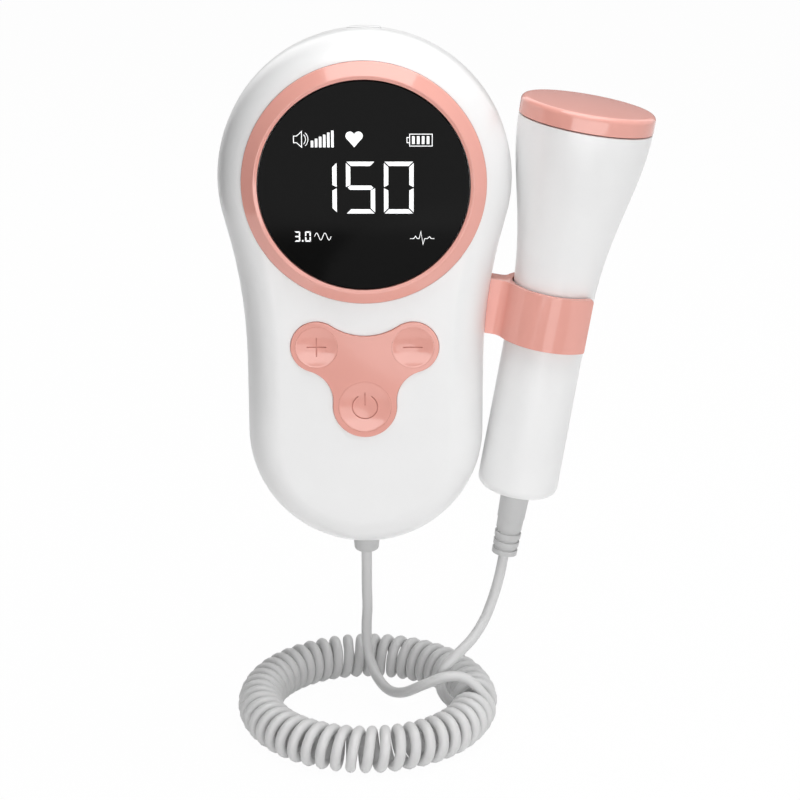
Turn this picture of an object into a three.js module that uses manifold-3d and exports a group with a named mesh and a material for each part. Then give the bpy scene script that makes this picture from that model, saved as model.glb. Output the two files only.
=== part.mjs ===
// A hand-held fetal heart monitor: a pear-shaped case with a round display and three keys, a probe
// that slides out of a clip on the case's side, and the curly cord that joins the two.
// Millimetres. The case's flat back is the plane y = 0, its display faces -Y, and +Z is up.
import * as THREE from "three";
import { mergeVertices } from "three/addons/utils/BufferGeometryUtils.js";
import Module from "manifold-3d";

const wasm = await Module();
wasm.setup();

// Fits
const seam = 0.3; // gap between pieces that touch
const overrun = 1; // how far a cutter runs past the face that it cuts

// Case: a round head over a narrower round tail, joined by straight sides and hollow flanks
const caseHeight = 140;
const headRadius = 38.7;
const tailRadius = 31.8;
const straightSide = 20.2; // straight side above the tail's round end
const caseDepth = 30.4; // flat back to flat front
const partingDepth = 15; // from the flat back to where the two shells meet
const straightBand = 2; // straight side on each side of the parting
const frontRound = 9.5; // how far the front's rounded edge reaches in
const backRound = 6;
const caseWall = 2;
const frontWall = 3.2;
const backWall = 2;

// Display
const displayAbove = 0.9; // display centre above the head's centre
const ringOuterRadius = 31.9;
const ringPeakRadius = 28.4;
const lensRadius = 27.35;
const ringSeatDepth = 1.5;
const ringEdge = 0.2; // the ring's outer edge over the case's front
const ringRise = 3; // the ring's peak over the case's front
const lensDrop = 0.5; // the lens under the ring's peak
const lensThickness = 1.7;
const gasketWidth = 1.4;
const displayHoleRadius = 25.5;
const panelThickness = 4;

// Keys and the lobed plate round them
const keySpread = 12.7; // plus and minus keys from the middle
const upperKeyDrop = 42.7; // plus and minus keys under the head's centre
const lowerKeyDrop = 59.1;
const smallKeyRadius = 5.6;
const largeKeyRadius = 7;
const smallLobeRadius = 6.9;
const largeLobeRadius = 8.5;
const topHollowRadius = 15.7;
const sideHollowRadius = 8.5;
const plateThickness = 2.1;
const plateRise = 0.6; // the plate over the case's front
const plateEdge = 0.3;
const keyTravel = 0.8;
const keyFlange = 0.8; // flange round the key under the plate
const keyFlangeThickness = 0.9;
const keyDish = 0.6;
const keyRimRound = 0.35;
const keyStemRadius = 1.8;
const keyReserve = 0.1; // gap left over the switch when a key is pressed home
const keyRunning = 0.25; // gap round a key in its hole

// Boards and switches
const boardThickness = 1.6;
const boardInset = 5.2;
const boardNotchRadius = 4.5;
const switchWidth = 6;
const switchHeight = 1.8;
const plungerRadius = 1.6;
const plungerHeight = 0.4;

// Battery and its sliding door
const doorWidth = 34;
const doorThickness = 1.8;
const doorTongue = 0.8;
const tongueThickness = 0.7;
const batteryWidth = 30.8;
const batteryLength = 46.8;
const batteryThickness = 9.2;
const batteryTopGap = 2.6; // the battery's top under the door's top edge
const batteryFoot = 12.6; // the battery's bottom over the case's
const wellWall = 1.6;
const gripGrooves = 3;
const gripGroovePitch = 2.4;
const gripGrooveWidth = 0.9;
const gripGrooveDepth = 0.5;
const gripGrooveLength = 12;
const gripTop = 6; // first groove under the door's top edge

// Loudspeaker and its grille
const speakerAbove = 2.7; // the speaker's centre above the head's centre
const speakerRadius = 14;
const speakerDepth = 3.2;
const magnetRadius = 8;
const magnetDepth = 4;
const speakerRibWall = 1.6;
const speakerRibHeight = 2.2;
const grilleRadius = 11;
const grilleSlotWidth = 1.6;
const grilleSlotPitch = 3.4;
const grilleSlots = 7;

// Charging socket at the top and its hinged cover
const coverWidth = 8.3;
const coverDepth = 5;
const coverThickness = 1.3;
const coverProud = 0.3;
const coverBehindParting = 2; // from the parting face to the cover's near edge
const socketWidth = 7.4;
const socketDepth = 2.8;
const socketLength = 7;
const socketWall = 0.35;
const socketTongueWidth = 4.6;
const socketTongueThickness = 0.7;
const portBlockWall = 2.4;
const chargeBoardLength = 14;
const chargeBoardWidth = 16;

// Screws that close the case
const screwHeadRadius = 2.3;
const screwHeadHeight = 1.7;
const screwShankRadius = 1.1;
const screwShankLength = 17;
const screwSink = 3; // the head's top under the back
const screwSlotWidth = 0.7;
const screwSlotDepth = 0.8;
const bossRadius = 3;
const rearBossRadius = 3.8;
const upperScrewSpread = 23;
const upperScrewRise = 19.2; // above the head's centre
const lowerScrewSpread = 22;
const lowerScrewDrop = 5.8; // under the tail's centre

// Probe: it leans out of the clip, its axis in the plane where the shells meet
const probeTilt = 9.2; // degrees
const probeTuck = 1.35; // how far the probe's foot reaches in under the case's straight side
const probeFootRise = 13.45; // the probe's foot over the case's
const probeLength = 103.2; // housing alone
const probeWall = 1.8;
const probeFloor = 3;
const probeBottomRound = 2.7;
const probeHandleRadius = 11.05;
const probeWaistRadius = 10.85;
const probeTopRadius = 17.8;
const flareStart = 40;
const waistHeight = 40;
const capHeight = 5;
const capProud = 0.1;
const capRound = 1.4;
const capCrown = 0.3;
const capFace = 2; // thickness of the face that touches the skin
const capSpigotLength = 3.2;
const capSpigotWall = 0.9;
const backingGap = 0.7; // between the crystals' backing and the cap round it
const crystalThickness = 1;
const crystalGap = 1.2;
const backingThickness = 3.7;
const probeBoardStart = 12;
const probeBoardEnd = 88;

// Strain relief under the probe
const reliefRadius = 4.05;
const reliefEndRadius = 3.5;
const reliefCollarLength = 8.7;
const reliefStep = 0.15; // the plain part under the collar is this much slimmer
const reliefPlainLength = 11.9; // collar and plain part
const reliefLength = 19.4;
const reliefRibs = 3;
const reliefRibShare = 0.58; // share of a rib's pitch that is rib
const reliefGroove = 0.5;
const reliefNeckRadius = 2.9;
const reliefFlangeRadius = 4.6;
const reliefFlangeHeight = 1.5;

// Clip on the case's side
const clipHeight = 15;
const clipCentre = 51; // up the probe's axis from its bottom
const clipBore = 11.6;
const clipWall = 1.7;
const clipMouth = 41; // degrees from the mouth's middle to each jaw's end
const clipNeckWidth = 6.5;
const clipFillet = 2.5; // hollow corners between the neck and the jaws
const clipCorner = 1.4; // rounded corners of the jaws' ends, as seen from the front
const tongueWidth = 2.8;
const tongueHeight = 9;
const footThickness = 1.7;
const footWidth = 9;
const footReach = 2.6; // the foot's outer face under the case's straight side

// Gland under the case
const glandRadius = 3.8;
const glandEndRadius = 3.4;
const glandLength = 4.7;
const glandRound = 1.1;
const glandNeckRadius = 2.8;
const glandFlangeRadius = 4.6;
const glandFlangeHeight = 1.5;
const glandFlangeLift = 0.8; // over the inside of the case's wall

// Cord: two free stretches and the ring of curls that lies under the case
const cordDiameter = 2.9;
const ringCentreX = 0.3;
const ringCentreY = -26.2;
const curlRadius = 4.85; // centreline of a curl
const ringRadius = 29.95; // centreline of the whole ring
const floorDrop = 122; // the surface that the cord lies on, under the case's mid-height
const curlStartAngle = -10; // degrees round the ring from +X, where the case's lead joins it
const curlEndAngle = -2; // where the probe's lead joins it, a whole turn less
const wholeCurls = 49;
const curlStartPhase = 45; // degrees up from the curl's outer side
const curlSteps = 8;
const curlSides = 5;
const leadSides = 8;
const leadSteps = 18;

// Faces on round shapes
const fineSides = 48;
const roundSides = 28;
const smallSides = 16;
const headSteps = 22;
const tailSteps = 14;
const flankSteps = 5;
const edgeSteps = 4;

// Places worked out from the sizes
const headZ = caseHeight / 2 - headRadius;
const tailZ = tailRadius - caseHeight / 2;
const sideTopZ = tailZ + straightSide;
const flankRise = headZ - sideTopZ;
const flankRadius =
  (tailRadius ** 2 + flankRise ** 2 - headRadius ** 2) / (2 * (headRadius - tailRadius));
const frontY = -caseDepth;
const innerFrontY = -(caseDepth - frontWall);
const partingY = -partingDepth;
const frontRoundDepth = caseDepth - partingDepth - straightBand;
const backRoundDepth = partingDepth - straightBand;
const displayZ = headZ + displayAbove;
const upperKeyZ = headZ - upperKeyDrop;
const lowerKeyZ = headZ - lowerKeyDrop;
const plateBackY = frontY + plateThickness - plateRise;
const pocketFloorY = plateBackY + seam;
const ringSeatY = frontY + ringSeatDepth;
const panelBackY = ringSeatY + panelThickness + seam;
const boardFrontY = panelBackY + seam;
const boardBackY = boardFrontY + boardThickness;
const batteryBottomZ = batteryFoot - caseHeight / 2;
const doorTopZ = batteryBottomZ + batteryLength + batteryTopGap;
const speakerZ = headZ + speakerAbove;
const screwSeatY = -(screwSink + screwHeadHeight + seam);
const curlCentreZ = curlRadius + cordDiameter / 2 - floorDrop;
const degrees = Math.PI / 180;
const probeFootX = tailRadius + probeHandleRadius - probeTuck;
const probeFootZ = probeFootRise - caseHeight / 2;
const clipMidX = probeFootX + clipCentre * Math.sin(probeTilt * degrees);
const clipMidZ = probeFootZ + clipCentre * Math.cos(probeTilt * degrees);
const tongueTopZ = clipMidZ + tongueHeight / 2;
const tongueBottomZ = clipMidZ - tongueHeight / 2;

// Materials
const plastic = (color, roughness, metalness = 0) =>
  new THREE.MeshStandardMaterial({ color, roughness, metalness });
const white = plastic(0xf2f2f0, 0.35);
const rose = plastic(0xe8a79c, 0.4);
const blackGlass = plastic(0x0c0c0d, 0.06);
const foam = plastic(0x2a2a2c, 0.95);
const display = plastic(0x1c2420, 0.3);
const board = plastic(0x1f5c38, 0.5);
const switchPlastic = plastic(0x222226, 0.5);
const cell = plastic(0x3c6ea8, 0.5);
const steel = plastic(0xb8bcc0, 0.3, 1);
const magnet = plastic(0x3a3a3e, 0.6, 0.4);
const ceramic = plastic(0xd9cfae, 0.5);
const resin = plastic(0x4a3d33, 0.7);
const greyRubber = plastic(0xc9c9ca, 0.55);

// Solids: joins, cuts and overlaps
function solidOf(geometry) {
  const bare = geometry.index ? geometry.toNonIndexed() : geometry.clone();
  bare.deleteAttribute("normal");
  bare.deleteAttribute("uv");
  const merged = mergeVertices(bare, 1e-4);
  return new wasm.Manifold(
    new wasm.Mesh({
      numProp: 3,
      vertProperties: merged.attributes.position.array,
      triVerts: new Uint32Array(merged.index.array),
    }),
  );
}

function geometryOf(solid) {
  const mesh = solid.getMesh();
  const geometry = new THREE.BufferGeometry();
  const places = new Float32Array(mesh.numVert * 3);
  for (let i = 0; i < mesh.numVert; i++) {
    places.set(mesh.vertProperties.subarray(i * mesh.numProp, i * mesh.numProp + 3), i * 3);
  }
  geometry.setAttribute("position", new THREE.BufferAttribute(places, 3));
  geometry.setIndex(new THREE.BufferAttribute(mesh.triVerts, 1));
  const faceted = geometry.toNonIndexed();
  faceted.computeVertexNormals();
  return faceted;
}

const join = (...shapes) => shapes.map(asSolid).reduce((whole, next) => whole.add(next));
const cut = (shape, ...cutters) =>
  cutters.map(asSolid).reduce((whole, next) => whole.subtract(next), asSolid(shape));
const common = (one, other) => asSolid(one).intersect(asSolid(other));

function asSolid(shape) {
  return shape.isBufferGeometry ? solidOf(shape) : shape;
}

// Simple shapes
function block(low, high) {
  const size = high.map((top, i) => top - low[i]);
  const middle = high.map((top, i) => (top + low[i]) / 2);
  return new THREE.BoxGeometry(...size).translate(...middle);
}

// A disc or a rod along Y, from one depth to another
function rodY(radius, x, z, fromY, toY, sides = smallSides) {
  const rod = new THREE.CylinderGeometry(radius, radius, Math.abs(toY - fromY), sides);
  return rod.translate(x, (fromY + toY) / 2, z);
}

function rodZ(radius, x, y, fromZ, toZ, sides = smallSides) {
  const rod = new THREE.CylinderGeometry(radius, radius, Math.abs(toZ - fromZ), sides);
  return rod.rotateX(Math.PI / 2).translate(x, y, (fromZ + toZ) / 2);
}

// A turned shape about Y from [radius, y] points, whose loop is closed on itself or by the axis
function turned(points, sides) {
  const onAxis = points[0][0] === 0 && points.at(-1)[0] === 0;
  const loop = onAxis ? points : [...points, points[0]];
  const area = points.reduce((sum, [radius, y], i) => {
    const [nextRadius, nextY] = points[(i + 1) % points.length];
    return sum + radius * nextY - nextRadius * y;
  }, 0);
  const ordered = area > 0 ? loop : loop.toReversed();
  return new THREE.LatheGeometry(
    ordered.map(([radius, y]) => new THREE.Vector2(radius, y)),
    sides,
  );
}

const turnedUp = (points, sides) => turned(points, sides).rotateX(Math.PI / 2);

// Points on a quarter of an ellipse, from its side to its top
function quarter(steps) {
  return Array.from({ length: steps + 1 }, (_, i) => {
    const angle = (i / steps) * (Math.PI / 2);
    return [Math.cos(angle), Math.sin(angle)];
  });
}

// A skin over loops of points, closed at both ends; each loop turns right-handed about the travel
function loft(loops) {
  const count = loops[0].length;
  const middle = (loop) =>
    loop.reduce((sum, point) => sum.add(point), new THREE.Vector3()).divideScalar(count);
  const points = [...loops.flat(), middle(loops[0]), middle(loops.at(-1))];
  const startMiddle = points.length - 2;
  const endMiddle = points.length - 1;
  const lastLoop = (loops.length - 1) * count;
  const faces = [];
  for (let i = 0; i < count; i++) {
    const next = (i + 1) % count;
    faces.push(startMiddle, next, i);
    faces.push(endMiddle, lastLoop + i, lastLoop + next);
    for (let base = 0; base < lastLoop; base += count) {
      faces.push(base + i, base + next, base + count + i);
      faces.push(base + next, base + count + next, base + count + i);
    }
  }
  const geometry = new THREE.BufferGeometry();
  geometry.setAttribute(
    "position",
    new THREE.Float32BufferAttribute(points.flatMap((point) => point.toArray()), 3),
  );
  geometry.setIndex(faces);
  geometry.computeVertexNormals();
  return geometry;
}

// The case's outline, drawn in by an inset: every arc keeps its centre
function pearOutline(y, inset) {
  const flankX = tailRadius + flankRadius;
  const meet = Math.atan2(flankRise, flankX);
  const right = [];
  for (let i = 0; i <= tailSteps / 2; i++) {
    const angle = -Math.PI / 2 + (i / tailSteps) * Math.PI;
    const reach = tailRadius - inset;
    right.push([reach * Math.cos(angle), tailZ + reach * Math.sin(angle)]);
  }
  for (let i = 0; i < flankSteps; i++) {
    const angle = Math.PI - (i / flankSteps) * meet;
    const reach = flankRadius + inset;
    right.push([flankX + reach * Math.cos(angle), sideTopZ + reach * Math.sin(angle)]);
  }
  for (let i = 0; i <= headSteps / 2; i++) {
    const angle = -meet + (i / headSteps) * (Math.PI + 2 * meet);
    const reach = headRadius - inset;
    right.push([reach * Math.cos(angle), headZ + reach * Math.sin(angle)]);
  }
  const left = right.slice(1, -1).toReversed().map(([x, z]) => [-x, z]);
  return [...right, ...left].map(([x, z]) => new THREE.Vector3(x, y, z));
}

const pearLoft = (levels) => loft(levels.map(([y, inset]) => pearOutline(y, inset)));

// The case's outside from the flat back to the flat front, grown or drawn in all round
function caseOutside(growth) {
  const back = quarter(edgeSteps).toReversed();
  const levels = back.map(([side, up]) => [
    growth - (backRoundDepth + growth) * (1 - up),
    backRound * (1 - side) - growth,
  ]);
  const startY = backRoundDepth;
  const roundStart = caseDepth - frontRoundDepth;
  for (const [side, up] of quarter(edgeSteps)) {
    levels.push([
      -(roundStart + (frontRoundDepth + growth) * up),
      frontRound * (1 - side) - growth,
    ]);
  }
  return pearLoft(levels.filter(([y], i) => i === 0 || y < levels[i - 1][0] || y === -startY));
}

// The room inside: the walls are even, and the front wall is thicker
function caseInside() {
  const levels = quarter(edgeSteps)
    .toReversed()
    .map(([side, up]) => [
      -backWall - (backRoundDepth - backWall) * (1 - up),
      backRound * (1 - side) + caseWall,
    ]);
  const roundStart = caseDepth - frontRoundDepth;
  for (const [side, up] of quarter(edgeSteps)) {
    levels.push([
      -(roundStart + (frontRoundDepth - frontWall) * up),
      frontRound * (1 - side) + caseWall,
    ]);
  }
  return pearLoft(levels);
}

// The lobed plate's outline: three lobes joined by hollow arcs
const lobes = [
  { x: keySpread, z: upperKeyZ, radius: smallLobeRadius, hollow: topHollowRadius },
  { x: -keySpread, z: upperKeyZ, radius: smallLobeRadius, hollow: sideHollowRadius },
  { x: 0, z: lowerKeyZ, radius: largeLobeRadius, hollow: sideHollowRadius },
];

function lobedShape(growth) {
  const joins = lobes.map((lobe, i) => {
    const next = lobes[(i + 1) % lobes.length];
    const span = Math.hypot(next.x - lobe.x, next.z - lobe.z);
    const fromLobe = lobe.radius + lobe.hollow;
    const fromNext = next.radius + lobe.hollow;
    const along = (fromLobe ** 2 - fromNext ** 2 + span ** 2) / (2 * span);
    const out = Math.sqrt(fromLobe ** 2 - along ** 2);
    const towards = [(next.x - lobe.x) / span, (next.z - lobe.z) / span];
    return {
      x: lobe.x + towards[0] * along + towards[1] * out,
      z: lobe.z + towards[1] * along - towards[0] * out,
      radius: lobe.hollow - growth,
    };
  });
  const shape = new THREE.Shape();
  lobes.forEach((lobe, i) => {
    const before = joins[(i + lobes.length - 1) % lobes.length];
    const after = joins[i];
    const next = lobes[(i + 1) % lobes.length];
    const start = Math.atan2(before.z - lobe.z, before.x - lobe.x);
    const end = Math.atan2(after.z - lobe.z, after.x - lobe.x);
    shape.absarc(lobe.x, lobe.z, lobe.radius + growth, start, end, false);
    const joinStart = Math.atan2(lobe.z - after.z, lobe.x - after.x);
    const joinEnd = Math.atan2(next.z - after.z, next.x - after.x);
    shape.absarc(after.x, after.z, after.radius, joinStart, joinEnd, true);
  });
  return shape;
}

// A flat plate whose outline is drawn as seen from the front, between two depths
function plateY(shape, backY, faceY, edge = 0) {
  const geometry = new THREE.ExtrudeGeometry(shape, {
    depth: Math.abs(faceY - backY) - 2 * edge,
    curveSegments: edgeSteps + 1,
    bevelEnabled: edge > 0,
    bevelThickness: edge,
    bevelSize: edge,
    bevelOffset: -edge,
    bevelSegments: 1,
  });
  return geometry.rotateX(Math.PI / 2).translate(0, Math.max(backY, faceY) - edge, 0);
}

const keys = [
  { name: "plus", x: -keySpread, z: upperKeyZ, radius: smallKeyRadius },
  { name: "minus", x: keySpread, z: upperKeyZ, radius: smallKeyRadius },
  { name: "power", x: 0, z: lowerKeyZ, radius: largeKeyRadius },
];

const screws = [
  [upperScrewSpread, headZ + upperScrewRise],
  [-upperScrewSpread, headZ + upperScrewRise],
  [lowerScrewSpread, tailZ - lowerScrewDrop],
  [-lowerScrewSpread, tailZ - lowerScrewDrop],
];

const outside = solidOf(caseOutside(0));
const grownOutside = solidOf(caseOutside(seam));
const inside = solidOf(caseInside());
const beyond = caseHeight;

// The half-space in front of a depth or behind it, as a large block
const inFrontOf = (y) => block([-beyond, -beyond, -beyond], [beyond, y, beyond]);
const behind = (y) => block([-beyond, y, -beyond], [beyond, beyond, beyond]);

// The slot in the case's side for the clip's tongue, and the hole in its foot for the gland
function sideAndFootCutters() {
  const slot = block(
    [tailRadius - caseWall - overrun, partingY - tongueWidth / 2 - seam, tongueBottomZ - seam],
    [clipMidX, partingY + tongueWidth / 2 + seam, tongueTopZ + seam],
  );
  const gland = rodZ(
    glandNeckRadius + seam,
    0,
    partingY,
    -caseHeight / 2 - overrun,
    -caseHeight / 2 + caseWall + overrun,
  );
  return [slot, gland];
}

function frontShell() {
  let shell = cut(outside, inside, behind(partingY - seam / 2));
  const bosses = screws.map(([x, z]) => rodY(bossRadius, x, z, partingY - seam / 2, innerFrontY - overrun));
  shell = join(shell, ...bosses);
  const pilots = screws.map(([x, z]) =>
    rodY(screwShankRadius + keyRunning / 2, x, z, partingY + overrun, screwSeatY - screwShankLength - seam),
  );
  const keyHoles = keys.map((key) =>
    rodY(key.radius + keyFlange + seam, key.x, key.z, innerFrontY + overrun, frontY - overrun, roundSides),
  );
  return cut(
    shell,
    ...pilots,
    ...keyHoles,
    plateY(lobedShape(seam), pocketFloorY, frontY - overrun),
    rodY(displayHoleRadius, 0, displayZ, innerFrontY + overrun, frontY - overrun, fineSides),
    rodY(ringOuterRadius + seam, 0, displayZ, ringSeatY, frontY - overrun, fineSides),
    ...sideAndFootCutters(),
  );
}

function bezelRing() {
  const baseY = ringSeatY - seam;
  const peakY = frontY - ringRise;
  const bore = lensRadius + seam;
  return turned(
    [
      [bore, baseY],
      [ringOuterRadius, baseY],
      [ringOuterRadius, frontY - ringEdge],
      [ringPeakRadius, peakY],
      [bore, peakY + lensDrop - ringEdge],
    ],
    fineSides,
  ).translate(0, 0, displayZ);
}

const lensFaceY = frontY - ringRise + lensDrop;
const lensBackY = lensFaceY + lensThickness;

function displayLens() {
  return rodY(lensRadius, 0, displayZ, lensBackY, lensFaceY, fineSides);
}

function displayGasket() {
  const outer = lensRadius - seam;
  return turned(
    [
      [outer - gasketWidth, ringSeatY - seam],
      [outer, ringSeatY - seam],
      [outer, lensBackY + seam],
      [outer - gasketWidth, lensBackY + seam],
    ],
    fineSides,
  ).translate(0, 0, displayZ);
}

function displayPanel() {
  return rodY(displayHoleRadius - 2 * seam, 0, displayZ, panelBackY, ringSeatY + seam, roundSides);
}

function mainBoard() {
  const plate = pearLoft([
    [boardBackY, boardInset],
    [boardFrontY, boardInset],
  ]);
  const notches = screws.map(([x, z]) => rodY(boardNotchRadius, x, z, boardBackY + overrun, boardFrontY - overrun));
  return cut(plate, ...notches);
}

function keySwitch(key) {
  const half = switchWidth / 2;
  const bodyFrontY = boardFrontY - switchHeight;
  return join(
    block([key.x - half, bodyFrontY, key.z - half], [key.x + half, boardFrontY, key.z + half]),
    rodY(plungerRadius, key.x, key.z, bodyFrontY + overrun, bodyFrontY - plungerHeight),
  );
}

function buttonFascia() {
  const plate = plateY(lobedShape(0), plateBackY, frontY - plateRise, plateEdge);
  const holes = keys.map((key) =>
    rodY(key.radius + keyRunning, key.x, key.z, plateBackY + overrun, frontY - overrun, roundSides),
  );
  return cut(plate, ...holes);
}

// A dished key with the flange that holds it behind the plate
function keyCap(key) {
  const faceY = frontY - plateRise;
  const flangeFrontY = pocketFloorY;
  const flangeBackY = flangeFrontY + keyFlangeThickness;
  const stemEndY = boardFrontY - switchHeight - plungerHeight - keyTravel - keyReserve;
  const flat = key.radius - keyRimRound;
  const dish = quarter(edgeSteps)
    .toReversed()
    .slice(1)
    .map(([up, side]) => [flat * (1 - side), faceY + keyDish * up]);
  return turned(
    [
      [0, stemEndY],
      [keyStemRadius, stemEndY],
      [keyStemRadius, flangeBackY],
      [key.radius + keyFlange, flangeBackY],
      [key.radius + keyFlange, flangeFrontY],
      [key.radius, flangeFrontY],
      [key.radius, faceY + keyRimRound],
      [flat, faceY],
      ...dish.toReversed(),
      [0, faceY + keyDish],
    ].filter(([radius, y], i, all) => i === 0 || radius !== all[i - 1][0] || y !== all[i - 1][1]),
    roundSides,
  ).translate(key.x, 0, key.z);
}

// The well that the battery lies in, its door's recess and the door itself
const wellTopZ = doorTopZ - batteryTopGap + seam;
const wellBottomZ = batteryBottomZ - seam;
const wellFloorY = -(doorThickness + 2 * seam + batteryThickness + seam);
const wellHalf = batteryWidth / 2 + seam;

function wellBlock() {
  return block(
    [-(doorWidth / 2 + doorTongue + wellWall), wellFloorY - wellWall, wellBottomZ - 2 * wellWall],
    [doorWidth / 2 + doorTongue + wellWall, -overrun, doorTopZ + wellWall + seam],
  );
}

function doorBlank(gap) {
  const backY = -doorThickness - gap;
  const half = doorWidth / 2 + gap;
  const outerY = gap > 0 ? overrun : 0;
  const plate = block([-half, backY, -beyond], [half, outerY, doorTopZ + gap]);
  const tongue = block(
    [-half - doorTongue, backY, -beyond],
    [half + doorTongue, -doorThickness + tongueThickness + gap, doorTopZ + gap],
  );
  return join(plate, tongue);
}

function batteryDoor() {
  const grooves = Array.from({ length: gripGrooves }, (_, i) => {
    const z = doorTopZ - gripTop - i * gripGroovePitch;
    return block(
      [-gripGrooveLength / 2, -gripGrooveDepth, z - gripGrooveWidth / 2],
      [gripGrooveLength / 2, overrun, z + gripGrooveWidth / 2],
    );
  });
  return cut(common(doorBlank(0), outside), ...grooves);
}

function batteryPack() {
  return block(
    [-batteryWidth / 2, wellFloorY + seam, wellBottomZ + seam],
    [batteryWidth / 2, wellFloorY + seam + batteryThickness, wellTopZ - seam],
  );
}

// The charging socket, the pocket over it and the cover in the pocket
const coverNearY = partingY + coverBehindParting;
const coverFarY = coverNearY + coverDepth;
const coverMidY = (coverNearY + coverFarY) / 2;
const caseTopZ = caseHeight / 2;
const coverBottomZ = caseTopZ + coverProud - coverThickness - coverProud;
const pocketFloorZ = coverBottomZ - seam;
const socketTopZ = pocketFloorZ - 2 * seam;
const socketBottomZ = socketTopZ - socketLength;

const aroundSocket = (growth, lowZ, highZ) =>
  block(
    [-socketWidth / 2 - growth, coverMidY - socketDepth / 2 - growth, lowZ],
    [socketWidth / 2 + growth, coverMidY + socketDepth / 2 + growth, highZ],
  );

const aroundCover = (growth, lowZ, highZ) =>
  block(
    [-coverWidth / 2 - growth, coverNearY - growth, lowZ],
    [coverWidth / 2 + growth, coverFarY + growth, highZ],
  );

function chargingSocket() {
  const shellOuter = aroundSocket(0, socketBottomZ, socketTopZ);
  const shellInner = aroundSocket(-socketWall, socketBottomZ + 2 * socketWall, socketTopZ + overrun);
  const tongue = block(
    [-socketTongueWidth / 2, coverMidY - socketTongueThickness / 2, socketBottomZ + socketWall],
    [socketTongueWidth / 2, coverMidY + socketTongueThickness / 2, socketTopZ - socketTongueThickness],
  );
  return join(cut(shellOuter, shellInner), tongue);
}

function portCover() {
  return common(aroundCover(0, coverBottomZ, caseTopZ + overrun), solidOf(caseOutside(coverProud)));
}

function chargeBoard() {
  const topZ = socketBottomZ - seam;
  return block(
    [-chargeBoardWidth / 2, coverMidY - boardThickness / 2, topZ - chargeBoardLength],
    [chargeBoardWidth / 2, coverMidY + boardThickness / 2, topZ],
  );
}

function loudspeaker() {
  const backY = -backWall - seam;
  return turned(
    [
      [0, backY],
      [speakerRadius, backY],
      [speakerRadius, backY - speakerDepth / 2],
      [magnetRadius, backY - speakerDepth],
      [magnetRadius, backY - speakerDepth - magnetDepth],
      [0, backY - speakerDepth - magnetDepth],
    ],
    roundSides,
  ).translate(0, 0, speakerZ);
}

function rearShell() {
  const shell = cut(outside, inside, inFrontOf(partingY + seam / 2));
  const bosses = screws.map(([x, z]) => rodY(rearBossRadius, x, z, -overrun, partingY + seam / 2));
  const ribOuter = rodY(
    speakerRadius + seam + speakerRibWall,
    0,
    speakerZ,
    -overrun,
    -backWall - speakerRibHeight,
    roundSides,
  );
  const ribInner = rodY(speakerRadius + seam, 0, speakerZ, -backWall, -caseDepth, roundSides);
  const portBlock = aroundSocket(portBlockWall, socketBottomZ, caseTopZ + overrun);
  const inner = join(...bosses, wellBlock(), cut(ribOuter, ribInner), portBlock);
  const kept = cut(common(inner, outside), inFrontOf(partingY + seam / 2));
  const sinks = screws.map(([x, z]) => rodY(screwHeadRadius + seam, x, z, overrun, screwSeatY));
  const shanks = screws.map(([x, z]) =>
    rodY(screwShankRadius + seam, x, z, overrun, partingY - overrun),
  );
  const well = block([-wellHalf, wellFloorY, wellBottomZ], [wellHalf, overrun, wellTopZ]);
  const grille = Array.from({ length: grilleSlots }, (_, i) => {
    const offset = (i - (grilleSlots - 1) / 2) * grilleSlotPitch;
    const half = Math.sqrt(grilleRadius ** 2 - offset ** 2);
    return block(
      [-half, -backWall - overrun, speakerZ + offset - grilleSlotWidth / 2],
      [half, overrun, speakerZ + offset + grilleSlotWidth / 2],
    );
  });
  return cut(
    join(shell, kept),
    ...sinks,
    ...shanks,
    doorBlank(seam),
    well,
    ...grille,
    aroundCover(seam, pocketFloorZ, caseTopZ + overrun),
    aroundSocket(seam, socketBottomZ - overrun, pocketFloorZ + overrun),
    ...sideAndFootCutters(),
  );
}

function caseScrew([x, z]) {
  const topY = -screwSink;
  const head = rodY(screwHeadRadius, x, z, topY, topY - screwHeadHeight);
  const shank = rodY(screwShankRadius, x, z, topY - screwHeadHeight / 2, screwSeatY - screwShankLength);
  const arm = screwHeadRadius - 2 * screwSlotWidth / 2;
  const across = block(
    [x - arm, topY - screwSlotDepth, z - screwSlotWidth / 2],
    [x + arm, topY + overrun, z + screwSlotWidth / 2],
  );
  const down = block(
    [x - screwSlotWidth / 2, topY - screwSlotDepth, z - arm],
    [x + screwSlotWidth / 2, topY + overrun, z + arm],
  );
  return cut(join(head, shank), across, down);
}

// The gland is held by a flange inside the case, and its outer part meets the case's round foot
function cordGland() {
  const footZ = -caseHeight / 2;
  const bottomZ = footZ - glandLength;
  const flangeZ = footZ + caseWall + glandFlangeLift;
  const outer = turnedUp(
    [
      [0, footZ + caseWall],
      [glandRadius, footZ + caseWall],
      [glandRadius, footZ],
      [glandEndRadius, bottomZ + glandRound],
      [glandEndRadius - glandRound / 2, bottomZ + glandRound / 4],
      [glandEndRadius - glandRound, bottomZ],
      [0, bottomZ],
    ],
    smallSides,
  ).translate(0, partingY, 0);
  return join(
    cut(outer, grownOutside),
    rodZ(glandNeckRadius, 0, partingY, footZ - overrun, flangeZ + overrun / 2),
    rodZ(glandFlangeRadius, 0, partingY, flangeZ, flangeZ + glandFlangeHeight),
  );
}

// Probe: its own frame has its origin at the round bottom and +Z up its axis
const probeFrame = new THREE.Object3D();
probeFrame.position.set(probeFootX, partingY, probeFootZ);
probeFrame.rotation.y = probeTilt * degrees;
probeFrame.updateMatrix();

const smooth = (share) => share * share * (3 - 2 * share);

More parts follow.
